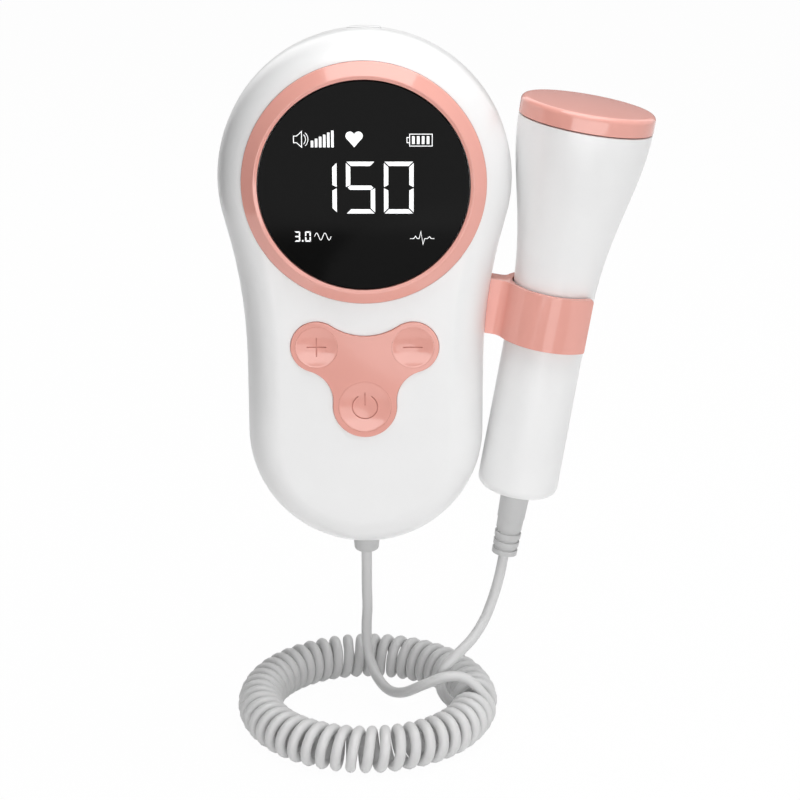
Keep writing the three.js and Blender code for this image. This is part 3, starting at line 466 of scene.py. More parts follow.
def quarter(steps):
    """Points on a quarter of a circle, from its side to its top."""
    angles = [i / steps * QUARTER_TURN for i in range(steps + 1)]
    return [(math.cos(angle), math.sin(angle)) for angle in angles]


# Places worked out from the sizes

def sizes_of(scene):
    """All groups of sizes, and the places worked out from them."""
    size = SimpleNamespace(**{name.removeprefix("monitor_"): getattr(scene, name) for name in GROUPS})
    size.at = worked_out(size)
    return size


def worked_out(size):
    case, display, keys, back = size.case, size.display, size.keys, size.back
    port, probe, clip, cord = size.port, size.probe, size.clip, size.cord
    at = SimpleNamespace()
    at.top = case.height / 2
    at.foot = -case.height / 2
    at.head = at.top - case.head_radius
    at.tail = at.foot + case.tail_radius
    at.side_top = at.tail + case.straight_side
    at.flank_rise = at.head - at.side_top
    spread = case.tail_radius**2 + at.flank_rise**2 - case.head_radius**2
    at.flank_radius = spread / (2 * (case.head_radius - case.tail_radius))
    at.flank_x = case.tail_radius + at.flank_radius
    at.flank_angle = math.atan2(at.flank_rise, at.flank_x)
    at.front = -case.depth
    at.inner_front = case.front_wall - case.depth
    at.parting = -case.parting
    at.beyond = case.height
    at.front_edge = case.depth - case.parting - case.straight_band
    at.back_edge = case.parting - case.straight_band
    at.display = at.head + display.above
    at.ring_seat = at.front + display.seat
    at.ring_peak = at.front - display.rise
    at.lens_face = at.ring_peak + display.lens_drop
    at.upper_key = at.head - keys.upper_drop
    at.lower_key = at.head - keys.lower_drop
    at.plate_back = at.front + keys.plate_thickness - keys.plate_rise
    at.plate_face = at.front - keys.plate_rise
    at.pocket_floor = at.plate_back + case.seam
    at.battery_bottom = at.foot + back.battery_foot
    at.door_top = at.battery_bottom + back.battery_length + back.battery_top_gap
    at.well_top = at.door_top - back.battery_top_gap + case.seam
    at.well_bottom = at.battery_bottom - case.seam
    at.well_floor = -(back.door_thickness + back.battery_thickness + 3 * case.seam)
    at.half_well = back.door_width / 2 + back.door_tongue + back.well_wall
    at.speaker = at.head + back.speaker_above
    at.cover_near = at.parting + port.behind
    at.cover_far = at.cover_near + port.cover_depth
    middle = (at.cover_near + at.cover_far) / 2
    at.socket_near, at.socket_far = middle - port.socket_depth / 2, middle + port.socket_depth / 2
    at.cover_bottom = at.top - port.cover_thickness
    at.port_floor = at.cover_bottom - case.seam
    at.socket_top = at.port_floor - 2 * case.seam
    at.socket_bottom = at.socket_top - port.socket_length
    at.probe_foot = Vector(
        (case.tail_radius + probe.handle_radius - probe.tuck, at.parting, at.foot + probe.foot_rise)
    )
    at.probe_axis = Vector((math.sin(probe.tilt), 0, math.cos(probe.tilt)))
    at.probe_side = Vector((math.cos(probe.tilt), 0, -math.sin(probe.tilt)))
    at.clip_middle = at.probe_foot + at.probe_axis * clip.centre
    at.relief_end = at.probe_foot - at.probe_axis * probe.relief_length
    at.curl_z = cord.curl_radius + cord.diameter / 2 - cord.floor_drop
    upper, lower = at.head + back.upper_rise, at.tail - back.lower_drop
    at.screws = [
        (side * spread, z)
        for spread, z in ((back.upper_spread, upper), (back.lower_spread, lower))
        for side in (1, -1)
    ]
    at.keys = [
        SimpleNamespace(name="plus", x=-keys.spread, z=at.upper_key, radius=keys.small_radius),
        SimpleNamespace(name="minus", x=keys.spread, z=at.upper_key, radius=keys.small_radius),
        SimpleNamespace(name="power", x=0.0, z=at.lower_key, radius=keys.large_radius),
    ]
    return at


class Step:
    """A step of the build, which gets all sizes and places."""

    def execute(self, context):
        self.build(sizes_of(context.scene))
        return {"FINISHED"}


# Materials

def finish_name(name):
    """The CAD's plain materials have the slots' own names."""
    return f"finish_{name}"


def shader(name):
    """A new material, its node tree and its main shader."""
    material = bpy.data.materials.new(finish_name(name))
    material.use_nodes = True
    return material, material.node_tree, material.node_tree.nodes["Principled BSDF"]


def fill(tree, node, inputs):
    """Sets a node's inputs, or links them where another node's output is given."""
    for name, value in inputs.items():
        if isinstance(value, bpy.types.NodeSocket):
            tree.links.new(value, node.inputs[name])
        else:
            node.inputs[name].default_value = value
    return node


def add(tree, kind, inputs=None):
    return fill(tree, tree.nodes.new(f"ShaderNode{kind}"), inputs or {})


def noise(tree, scale, detail=3.0):
    place = add(tree, "TexCoord").outputs["Object"]
    return add(tree, "TexNoise", {"Vector": place, "Scale": scale, "Detail": detail}).outputs["Fac"]


def ramp(tree, source, low, high):
    """Spreads a pattern between two colours."""
    node = add(tree, "ValToRGB", {"Fac": source})
    for stop, position, tint in zip(node.color_ramp.elements, (0.3, 0.7), (low, high)):
        stop.position = position
        stop.color = (*tint, 1)
    return node.outputs["Color"]


def spread(tree, source, low, high):
    """Spreads a pattern between two values."""
    return add(tree, "MapRange", {"Value": source, "To Min": low, "To Max": high}).outputs["Result"]


def moulded(name, tint, roughness, grain, bump, coat=0.0, sheen=0.0):
    """A moulded plastic or rubber: a faint change of tone, and a grain in its gloss and its surface."""
    material, tree, main = shader(name)
    low, high = [value * 0.98 for value in tint], [min(value * 1.02, 1) for value in tint]
    fine = noise(tree, grain, 4.0)
    relief = add(tree, "Bump", {"Strength": bump, "Distance": GRAIN_HEIGHT, "Height": fine})
    fill(tree, main, {
        "Base Color": ramp(tree, noise(tree, 35.0), low, high),
        "Roughness": spread(tree, fine, roughness * 0.9, roughness * 1.1),
        "Normal": relief.outputs["Normal"],
        "IOR": 1.5,
        "Coat Weight": coat,
        "Coat Roughness": 0.12,
        "Sheen Weight": sheen,
    })
    return material


def brushed(name, tint, roughness):
    material, tree, main = shader(name)
    lines = noise(tree, 900.0, 2.0)
    fill(tree, main, {
        "Base Color": ramp(tree, lines, [value * 0.85 for value in tint], tint),
        "Roughness": spread(tree, lines, roughness * 0.7, roughness * 1.3),
        "Metallic": 1.0,
    })
    return material


def circuit_board(name):
    """Green lacquer with copper runs under it."""
    material, tree, main = shader(name)
    runs = add(tree, "TexBrick", {
        "Vector": add(tree, "TexCoord").outputs["Object"],
        "Scale": 240.0,
        "Color1": (0.015, 0.13, 0.05, 1),
        "Color2": (0.02, 0.17, 0.065, 1),
        "Mortar": (0.06, 0.3, 0.12, 1),
        "Mortar Size": 0.03,
    })
    fill(tree, main, {"Base Color": runs.outputs["Color"], "Roughness": 0.35, "Coat Weight": 0.5})
    return material


def black_window(name):
    material, tree, main = shader(name)
    fill(tree, main, {
        "Base Color": (0.005, 0.005, 0.005, 1),
        "Roughness": spread(tree, noise(tree, 60.0), 0.04, 0.09),
        "Specular IOR Level": 0.03,
    })
    return material


def lit_mark(name):
    """White light, a little uneven, as behind a display."""
    material, tree, main = shader(name)
    light = ramp(tree, noise(tree, 500.0, 1.0), (0.93, 0.94, 0.95), (1, 1, 1))
    fill(tree, main, {"Base Color": light, "Roughness": 0.4})
    fill(tree, main, {"Emission Color": light, "Emission Strength": 0.35})
    return material


def make_finishes(colours):
    """Makes all of the object's materials."""
    moulded("case_white", colours.white, roughness=0.32, grain=900, bump=0.05, coat=0.15)
    moulded("rose_plastic", colours.rose, roughness=0.08, grain=1400, bump=0.02)
    moulded("rose_sign", colours.rose_sign, roughness=0.6, grain=1400, bump=0.1)
    black_window("black_window")
    lit_mark("lit_mark")
    moulded("foam", (0.03, 0.03, 0.03), roughness=0.95, grain=2500, bump=0.8)
    moulded("display", (0.05, 0.06, 0.055), roughness=0.25, grain=1200, bump=0.1, coat=0.4)
    circuit_board("board")
    moulded("switch_black", (0.03, 0.03, 0.03), roughness=0.55, grain=1200, bump=0.2)
    moulded("battery_wrap", (0.06, 0.2, 0.45), roughness=0.3, grain=300, bump=0.25, coat=0.3)
    brushed("steel", (0.62, 0.63, 0.65), roughness=0.28)
    moulded("speaker_grey", (0.05, 0.05, 0.06), roughness=0.5, grain=700, bump=0.3)
    moulded("ceramic", (0.7, 0.6, 0.4), roughness=0.6, grain=2200, bump=0.3)
    moulded("resin", (0.08, 0.05, 0.03), roughness=0.7, grain=900, bump=0.4)
    moulded("relief_grey", colours.relief, roughness=0.42, grain=1500, bump=0.12)
    moulded("cord_grey", colours.cord, roughness=0.4, grain=1800, bump=0.15, sheen=0.1)


def finish_of(name):
    if finish_name(name) not in bpy.data.materials:
        make_finishes(bpy.context.scene.monitor_colours)
    return bpy.data.materials[finish_name(name)]


def placed(piece, body, slot, *nodes, finish=None):
    """Gives a finished piece its material and its body, and hides the CAD nodes that it stands for."""
    if not piece.data.materials:
        piece.data.materials.append(None)
    piece.data.materials[0] = finish_of(finish or slot)
    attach(piece, body)
    if nodes:
        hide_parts(*nodes)


# The case's rounded halves

def pear_outline(size, y, inset, facing):
    """Draws the case's outline, drawn in by an inset, as one face."""
    case, at = size.case, size.at
    tail, head = Vector((0, y, at.tail)), Vector((0, y, at.head))
    flanks = [Vector((side * at.flank_x, y, at.side_top)) for side in (1, -1)]
    over_top = QUARTER_TURN + at.flank_angle
    head_steps = round(case.arc_steps * over_top / QUARTER_TURN)
    flank_steps = round(case.arc_steps / 4)
    pen = Pen((0, y, at.foot + inset))
    pen.arc(tail, FRONT, QUARTER_TURN, case.arc_steps)
    pen.line_to(pen.here + UP * case.straight_side)
    pen.arc(flanks[0], FRONT, -at.flank_angle, flank_steps)
    pen.arc(head, FRONT, over_top, head_steps)
    pen.arc(head, FRONT, over_top, head_steps)
    pen.arc(flanks[1], FRONT, -at.flank_angle, flank_steps)
    pen.line_to(pen.here - UP * case.straight_side)
    pen.arc(tail, FRONT, QUARTER_TURN, case.arc_steps)
    pen.close(facing)


def pear_half(size, name, start_y, straight_y, inset, edge, edge_depth):
    """One half of the case's outside or inside: a straight side and an elliptic edge."""
    pear_outline(size, start_y, inset, BACK if straight_y > start_y else FRONT)
    raise_face((0, straight_y - start_y, 0))
    steps = quarter(size.case.edge_steps)
    for (side, up), (next_side, next_up) in zip(steps, steps[1:]):
        bpy.ops.mesh.inset(
            thickness=edge * (side - next_side), depth=edge_depth * (next_up - up), use_even_offset=True
        )
    return named(name)


def front_outside(size, name, start_y, growth=0.0):
    case, edge = size.case, size.at.front_edge
    return pear_half(size, name, start_y, edge - case.depth, -growth, case.front_round, edge + growth)


def back_outside(size, name, start_y, growth=0.0):
    case, edge = size.case, size.at.back_edge
    return pear_half(size, name, start_y, -edge, -growth, case.back_round, edge + growth)


def cut_outside(size, piece):
    """Cuts the whole case from a piece that stands against it."""
    over = size.case.overrun
    front = front_outside(size, "trim", size.at.parting + over, size.case.snug)
    return cut(piece, front, back_outside(size, "trim", size.at.parting - over, size.case.snug))


def side_and_foot_cutters(size):
    """The slot for the clip's tongue, and the hole for the gland."""
    case, clip, cord, at = size.case, size.clip, size.cord, size.at
    half_tongue = clip.tongue_width / 2 + case.seam
    half_height = clip.tongue_height / 2 + case.seam
    inside = case.tail_radius - case.wall - case.overrun
    slot = block(
        (inside, at.parting - half_tongue, at.clip_middle.z - half_height),
        (at.clip_middle.x, at.parting + half_tongue, at.clip_middle.z + half_height),
    )
    below, above = at.foot - case.overrun, at.foot + case.wall + case.overrun
    return slot, rod_up(cord.gland_neck + case.seam, at.parting, below, above, cord.neck_steps)


def lobed_plate(size, name, growth, back_y, face_y):
    """The three-lobed plate or its pocket: three lobes joined by hollow arcs."""
    keys, case, at = size.keys, size.case, size.at
    lobes = [
        (Vector((keys.spread, back_y, at.upper_key)), keys.small_lobe, keys.top_hollow),
        (Vector((-keys.spread, back_y, at.upper_key)), keys.small_lobe, keys.side_hollow),
        (Vector((0, back_y, at.lower_key)), keys.large_lobe, keys.side_hollow),
    ]
    hollows = []
    for (centre, radius, hollow), (next_centre, next_radius, _) in zip(lobes, lobes[1:] + lobes[:1]):
        span = (next_centre - centre).length
        towards = (next_centre - centre) / span
        away = FRONT.cross(towards) * -1
        along = ((radius + hollow) ** 2 - (next_radius + hollow) ** 2 + span**2) / (2 * span)
        out = math.sqrt((radius + hollow) ** 2 - along**2)
        hollows.append(centre + towards * along + away * out)
    first, radius, _ = lobes[0]
    pen = Pen(first + (hollows[-1] - first).normalized() * (radius + growth))
    for (centre, _, _), (next_centre, _, _), hollow in zip(lobes, lobes[1:] + lobes[:1], hollows):
        before = (pen.here - centre).normalized()
        pen.arc(centre, FRONT, turn_between(before, (hollow - centre).normalized()), case.arc_steps)
        back = turn_between((next_centre - hollow).normalized(), (centre - hollow).normalized())
        pen.arc(hollow, FRONT, back * -1, case.arc_steps // 2)
    pen.close(FRONT)
    raise_face((0, face_y - back_y, 0))
    return named(name)


def turn_between(before, after):
    """The left-hand turn between two directions, as seen from the front."""
    angle = before.angle(after)
    return angle if before.cross(after).dot(FRONT) > 0 else FULL_TURN - angle


def soften_rims(piece, level, width):
    """Rounds the sharp edges that lie in one plane square to Y."""
    choose(piece)
    bpy.ops.object.mode_set(mode="EDIT")
    bpy.ops.mesh.select_mode(type="EDGE")
    bpy.ops.mesh.select_all(action="DESELECT")
    mesh = bmesh.from_edit_mesh(piece.data)
    for edge in mesh.edges:
        flush = all(abs(vert.co.y - level) < 10 * NEAR for vert in edge.verts)
        edge.select = flush and len(edge.link_faces) == 2 and edge.calc_face_angle() > QUARTER_TURN / 2
    bmesh.update_edit_mesh(piece.data)
    bpy.ops.mesh.bevel(offset=width, segments=2, affect="EDGES")
    bpy.ops.mesh.select_mode(type="VERT")
    bpy.ops.object.mode_set(mode="OBJECT")


class MONITOR_OT_front_shell(Step, bpy.types.Operator):
    """Models the front shell, with its seats for the ring and the plate"""

    bl_idname = "monitor.front_shell"
    bl_label = "Front shell"

    def build(self, size):
        case, display, keys, at = size.case, size.display, size.keys, size.at
        inside, over = at.inner_front + case.overrun, at.front - case.overrun
        shell = front_outside(size, "shell_front", at.parting - case.seam / 2)
        room = pear_half(
            size, "room", at.parting + case.overrun, at.front_edge - case.depth,
            case.wall, case.front_round, at.front_edge - case.front_wall,
        )
        reach = keys.flange + case.seam
        holes = [rod_back(key.radius + reach, key.x, key.z, inside, over, keys.steps) for key in at.keys]
        seat = rod_back(display.ring_radius + case.snug, 0, at.display, at.ring_seat, over, display.steps)
        opening = rod_back(
            display.opening_radius, 0, at.display, inside, at.ring_seat - case.overrun, display.steps
        )
        pocket = lobed_plate(size, "pocket", case.snug, at.pocket_floor, over)
        cut(shell, room, seat, opening, pocket, *holes, *side_and_foot_cutters(size))
        soften_rims(shell, at.front, case.rim)
        placed(finished(shell), "monitor", "case_white", "front_shell")


def around(across, near, far, low, high, growth):
    """A box round the middle of the case, grown on four sides."""
    return block((-across / 2 - growth, near - growth, low), (across / 2 + growth, far + growth, high))


def door_blank(size, gap):
    case, back, at = size.case, size.back, size.at
    half, top = back.door_width / 2 + gap, at.door_top + gap
    inner = -back.door_thickness - gap
    plate = block((-half, inner, -at.beyond), (half, case.overrun if gap > 0 else case.seam, top))
    half += back.door_tongue
    outer = gap + back.tongue_thickness - back.door_thickness
    return join(plate, block((-half, inner, -at.beyond), (half, outer, top)))


def rounded_slot(half, width, z, near, far, steps):
    """A slot with round ends, along X."""
    reach = half - width / 2
    slot = block((-reach, near, z - width / 2), (reach, far, z + width / 2))
    return join(slot, *[rod_back(width / 2, side * reach, z, near, far, steps) for side in (1, -1)])


class MONITOR_OT_rear_shell(Step, bpy.types.Operator):
    """Models the rear shell, with its battery well, grille, screw seats and port"""

    bl_idname = "monitor.rear_shell"
    bl_label = "Rear shell"

    def build(self, size):
        case, back, port, at = size.case, size.back, size.port, size.at
        seam, over = case.seam, case.overrun
        shell = back_outside(size, "shell_rear", at.parting + seam / 2)
        room = pear_half(
            size, "room", at.parting - over, -at.back_edge, case.wall, case.back_round,
            at.back_edge - case.back_wall,
        )
        cut(shell, cut(room, self.inner_walls(size)))
        cutters = [
            rod_back(radius + seam, x, z, over, end, steps)
            for radius, end, steps in (
                (back.screw_head, -back.screw_seat, back.head_steps),
                (back.screw_shank, at.parting - over, back.shank_steps),
            )
            for x, z in at.screws
        ]
        half = back.battery_width / 2 + seam
        cutters.append(block((-half, at.well_floor, at.well_bottom), (half, over, at.well_top)))
        cutters.append(door_blank(size, seam))
        slots = 1 + 2 * round(back.grille_radius // back.slot_pitch)
        for i in range(slots):
            rise = (i - (slots - 1) / 2) * back.slot_pitch
            half = math.sqrt(back.grille_radius**2 - rise**2)
            place = (at.speaker + rise, -case.back_wall - over, over)
            cutters.append(rounded_slot(half, back.slot_width, *place, back.slot_steps))
        low = at.socket_bottom - over
        cutters += [
            around(port.cover_width, at.cover_near, at.cover_far, at.port_floor, at.top + over, seam),
            around(port.socket_width, at.socket_near, at.socket_far, low, at.port_floor + over, seam),
        ]
        cut(shell, *cutters, *side_and_foot_cutters(size))
        placed(finished(shell), "monitor", "case_white", "rear_shell")

    def inner_walls(self, size):
        """The walls round the battery, the loudspeaker, the screws and the charging socket."""
        case, back, port, at = size.case, size.back, size.port, size.at
        over, speaker_hole = case.overrun, back.speaker_radius + case.seam
        walls = block(
            (-at.half_well, at.well_floor - back.well_wall, at.well_bottom - 2 * back.well_wall),
            (at.half_well, -over, at.door_top + back.well_wall + case.seam),
        )
        rib_end = -case.back_wall - back.speaker_rib
        rib = rod_back(speaker_hole + back.well_wall, 0, at.speaker, -over, rib_end, back.rib_steps)
        cut(rib, rod_back(speaker_hole, 0, at.speaker, -case.back_wall, -at.beyond, back.rib_steps))
        boss_end = at.parting - 2 * over
        bosses = [
            rod_back(back.boss_radius, x, z, -over, boss_end, back.boss_steps) for x, z in at.screws
        ]
        low, high = at.socket_bottom, at.top + over
        port_block = around(port.socket_width, at.socket_near, at.socket_far, low, high, port.block_wall)
        return join(walls, rib, port_block, *bosses)


class MONITOR_OT_door_and_cover(Step, bpy.types.Operator):
    """Models the battery door and the cover over the charging socket"""

    bl_idname = "monitor.door_and_cover"
    bl_label = "Door and port cover"

    def build(self, size):
        case, back, port, at = size.case, size.back, size.port, size.at
        door = keep_common(door_blank(size, 0), back_outside(size, "trim", at.parting))
        half = back.groove_length / 2 - back.groove_width / 2
        for i in range(back.grooves):
            place = (at.door_top - back.groove_top - i * back.groove_pitch, -back.groove_depth, case.overrun)
            cut(door, rounded_slot(half, back.groove_width, *place, back.slot_steps))
        door.name = "door_battery"
        placed(finished(door, back.edge / 2, 2), "door", "case_white", "battery_door")
        low, high = at.cover_bottom, at.top + case.overrun
        cover = around(port.cover_width, at.cover_near, at.cover_far, low, high, 0)
        keep_common(cover, back_outside(size, "trim", at.parting, port.cover_proud))
        cover.name = "cover_port"
        placed(finished(cover, back.edge, 3), "cover", "case_white", "port_cover")


class MONITOR_OT_display(Step, bpy.types.Operator):
    """Models the ring, the black window and the lit marks"""

    bl_idname = "monitor.display"
    bl_label = "Display"

    def build(self, size):
        case, display, at = size.case, size.display, size.at
        place = (Vector((0, 0, at.display)), BACK, RIGHT, display.steps)
        bore, foot = display.lens_radius + case.seam, at.ring_seat - case.seam
        profile = [
            (bore, foot),
            (display.ring_radius, foot),
            (display.ring_radius, at.front - display.edge),
            (display.peak_radius, at.ring_peak),
            (bore, at.lens_face - display.edge),
        ]
        ring = finished(turned("ring_display", profile, *place), display.rim, 3, display.ring_crease)
        placed(ring, "monitor", "rose_plastic", "bezel_ring")
        radius, face, behind = display.lens_radius, at.lens_face, at.lens_face + display.lens_thickness
        lens = turned("window_display", [(0, behind), (radius, behind), (radius, face), (0, face)], *place)
        placed(finished(lens, display.rim, 2), "monitor", "black_window", "display_lens")
        marks = screen_marks(size)
        marks.name = "marks_display"
        placed(marks, "monitor", "black_window", finish="lit_mark")


# Lit marks: places across and above the display's centre, as shares of the marks' scale

class Marks:
    """Draws flat marks on the window's face."""

    def __init__(self, size):
        self.display, self.at, self.drawn = size.display, size.at, []

    def polygon(self, shares):
        """A flat mark with straight sides."""
        scale, at = self.display.mark_scale, self.at
        places = [
            Vector((across * scale, at.lens_face, at.display + above * scale)) for across, above in shares
        ]
        pen = Pen(places[0])
        for place in places[1:] + places[:1]:
            pen.line_to(place)
        pen.close(FRONT)
        raise_face((0, -self.display.mark_thickness, 0))
        self.drawn.append(named("mark"))

    def line(self, shares, width, closed=False):
        """A drawn line of even width, with mitred corners, as four-sided marks."""
        points = [Vector(share) for share in shares]
        before, after = [None, *points[:-1]], [*points[1:], None]
        if closed:
            before, after, points = points[-1:] + points, points[1:] + points[:2], points + points[:1]
        sides = []
        for last, point, following in zip(before, points, after):
            steps = [(b - a).normalized() for a, b in ((last, point), (point, following)) if a and b]
            normals = [Vector((-step.y, step.x)) for step in steps]
            middle = sum(normals, Vector((0, 0))).normalized()
            reach = width / 2 / max(middle.dot(normals[0]), 0.3)
            sides.append((point + middle * reach, point - middle * reach))
        for one, other in zip(sides, sides[1:]):
            self.polygon([one[0], other[0], other[1], one[1]])

    def digit(self, left, right, top, bottom, width, lit):
        """A seven-segment digit: each lit segment is a bar with slanted ends."""
        gap, half, middle = width * 0.14, width / 2, (top + bottom) / 2
        uprights = {
            "f": (left, 1, top, -1),
            "b": (right, -1, top, -1),
            "e": (left, 1, bottom, 1),
            "c": (right, -1, bottom, 1),
        }
        for name in lit:
            if name == "g":
                start, end = left + gap + half / 2, right - gap - half / 2
                shares = [
                    (start, middle), (start + half, middle + half), (end - half, middle + half),
                    (end, middle), (end - half, middle - half), (start + half, middle - half),
                ]
            elif name in "ad":
                edge, inward = (top, -width) if name == "a" else (bottom, width)
                shares = [
                    (left + gap, edge), (right - gap, edge),
                    (right - gap - width, edge + inward), (left + gap + width, edge + inward),
                ]
            else:
                x, across, end, inward = uprights[name]
                shares = [
                    (x, end + inward * gap * 2), (x + across * width, end + inward * (width + gap * 2)),
                    (x + across * width, middle - inward * (half + gap)), (x, middle - inward * gap),
                ]
            self.polygon(shares)

    def joined(self):
        bpy.ops.object.select_all(action="DESELECT")
        for mark in self.drawn:
            mark.select_set(True)
        bpy.context.view_layer.objects.active = self.drawn[0]
        bpy.ops.object.join()
        return self.drawn[0]


def arc_shares(centre, radius, start, end, steps):
    angles = [start + (end - start) * i / steps for i in range(steps + 1)]
    return [(centre[0] + radius * math.cos(a), centre[1] + radius * math.sin(a)) for a in angles]


def box_shares(left, right, foot, top):
    return [(left, foot), (right, foot), (right, top), (left, top)]


def screen_marks(size):
    """The lit marks of the display: sound level, heart, charge, a plain count and two small signs."""
    marks = Marks(size)
    line_share = 0.0075
    thin_share = line_share * 0.8
    speaker_shares = [
        (-0.65, 0.415), (-0.65, 0.477), (-0.622, 0.477), (-0.575, 0.52), (-0.575, 0.372), (-0.622, 0.415),
    ]
    marks.line(speaker_shares, line_share, closed=True)
    for reach_share in (0.062, 0.085):
        marks.line(arc_shares((-0.6, 0.446), reach_share, -0.8, 0.8, 8), thin_share)
    for i in range(6):
        left_share, foot_share = -0.49 + i * 0.038, 0.371
        marks.polygon(box_shares(left_share, left_share + 0.024, foot_share, foot_share + 0.063 + i * 0.019))
    right_lobe_shares = arc_shares((-0.0465, 0.479), 0.041, -0.62, 2.75, 14)
    left_lobe_shares = arc_shares((-0.1255, 0.479), 0.041, 0.39, 3.76, 14)
    marks.polygon([(-0.086, 0.372), *right_lobe_shares, *left_lobe_shares])
    marks.line(box_shares(0.43, 0.64, 0.383, 0.495), line_share, closed=True)
    nub_shares = [(0.43, 0.415), (0.405, 0.415), (0.405, 0.463), (0.43, 0.463)]
    marks.line(nub_shares, line_share)
    for i in range(4):
        left_share = 0.452 + i * 0.0455
        marks.polygon(box_shares(left_share, left_share + 0.025, 0.402, 0.476))
    large_shares = {"top": 0.236, "bottom": -0.258, "width": 0.041}
    small_shares = {"top": -0.43, "bottom": -0.53, "width": 0.0135}
    marks.digit(-0.35, -0.252, lit="bc", **large_shares)
    marks.digit(-0.165, 0.107, lit="afgcd", **large_shares)
    marks.digit(0.19, 0.468, lit="abcdef", **large_shares)
    marks.digit(-0.655, -0.6, lit="abgcd", **small_shares)
    foot_share = small_shares["bottom"]
    marks.polygon(box_shares(-0.585, -0.57, foot_share, foot_share + 0.016))
    marks.digit(-0.555, -0.5, lit="abcdef", **small_shares)
    marks.line([(-0.465 + 0.0052 * i, -0.48 + 0.034 * math.sin(i * 0.42)) for i in range(31)], thin_share)
    pulse_shares = [
        (0.435, -0.5), (0.47, -0.5), (0.486, -0.476), (0.502, -0.5), (0.52, -0.5), (0.537, -0.432),
        (0.557, -0.555), (0.573, -0.5), (0.6, -0.5), (0.618, -0.48), (0.634, -0.5), (0.665, -0.5),
    ]
    marks.line(pulse_shares, thin_share)
    return marks.joined()


class MONITOR_OT_keypad(Step, bpy.types.Operator):
    """Models the lobed plate and the three dished keys with their signs"""

    bl_idname = "monitor.keypad"
    bl_label = "Keypad"

    def build(self, size):
        case, keys, at = size.case, size.keys, size.at
        plate = lobed_plate(size, "plate_keys", 0, at.plate_back, at.plate_face)
        near, far = at.plate_back + case.overrun, at.plate_face - case.overrun
        holes = [rod_back(key.radius + keys.running, key.x, key.z, near, far, keys.steps) for key in at.keys]
        cut(finished(plate, keys.plate_edge, 3), *holes)
        placed(finished(plate), "monitor", "rose_plastic", "button_fascia")
        for key in at.keys:
            self.cap(size, key)

    def cap(self, size, key):
        keys, at = size.keys, size.at
        behind, flat, steps = at.pocket_floor + keys.flange_thickness, key.radius - keys.rim, keys.dish_steps
        inwards = [1 - i / steps for i in range(1, steps + 1)]
        rim = [
            (flat + keys.rim * side, at.plate_face + keys.rim * (1 - up))
            for side, up in quarter(keys.rim_steps)
        ]
        profile = [
            (0, behind),
            (key.radius + keys.flange, behind),
            (key.radius + keys.flange, at.pocket_floor),
            (key.radius, at.pocket_floor),
            *rim,
            *[(flat * share, at.plate_face + keys.dish * (1 - share**2)) for share in inwards],
        ]
        cap = turned(f"key_{key.name}", profile, (key.x, 0, key.z), BACK, RIGHT, keys.steps)
        cap.data.materials.append(finish_of("rose_plastic"))
        for cutter in self.sign(size, key):
            cutter.data.materials.append(finish_of("rose_sign"))
            cut(cap, cutter)
        placed(finished(cap, limit=keys.crease), f"{key.name}_key", "rose_plastic", f"{key.name}_button")

    def sign(self, size, key):
        """Cutters for the key's sign, as deep as its groove under the dish."""
        keys, at = size.keys, size.at
        deep = at.plate_face + keys.dish + keys.groove
        over = at.plate_face - size.case.overrun
        half_line, arm = keys.stroke / 2, key.radius * keys.arm_share

        def bar(left, right, foot, top):
            return block((key.x + left, over, key.z + foot), (key.x + right, deep, key.z + top))

        if key.name != "power":
            across = bar(-arm, arm, -half_line, half_line)
            return [across] if key.name == "minus" else [across, bar(-half_line, half_line, -arm, arm)]
        radius, turn = key.radius * keys.power_share, FULL_TURN - 2 * keys.power_opening
        centre = Vector((key.x, over, key.z))
        start = Vector((math.sin(keys.power_opening), 0, math.cos(keys.power_opening)))
        pen = Pen(centre + start * radius)
        for sweep, step in ((-turn, -keys.stroke), (turn, keys.stroke)):
            pen.line_to(pen.here + (pen.here - centre).normalized() * step)
            pen.arc(centre, FRONT, sweep, keys.sign_steps)
        pen.close(BACK)
        raise_face((0, deep - over, 0))
        arc = named("sign")
        return [arc, bar(-half_line, half_line, radius * keys.bar_foot_share, radius * keys.bar_top_share)]


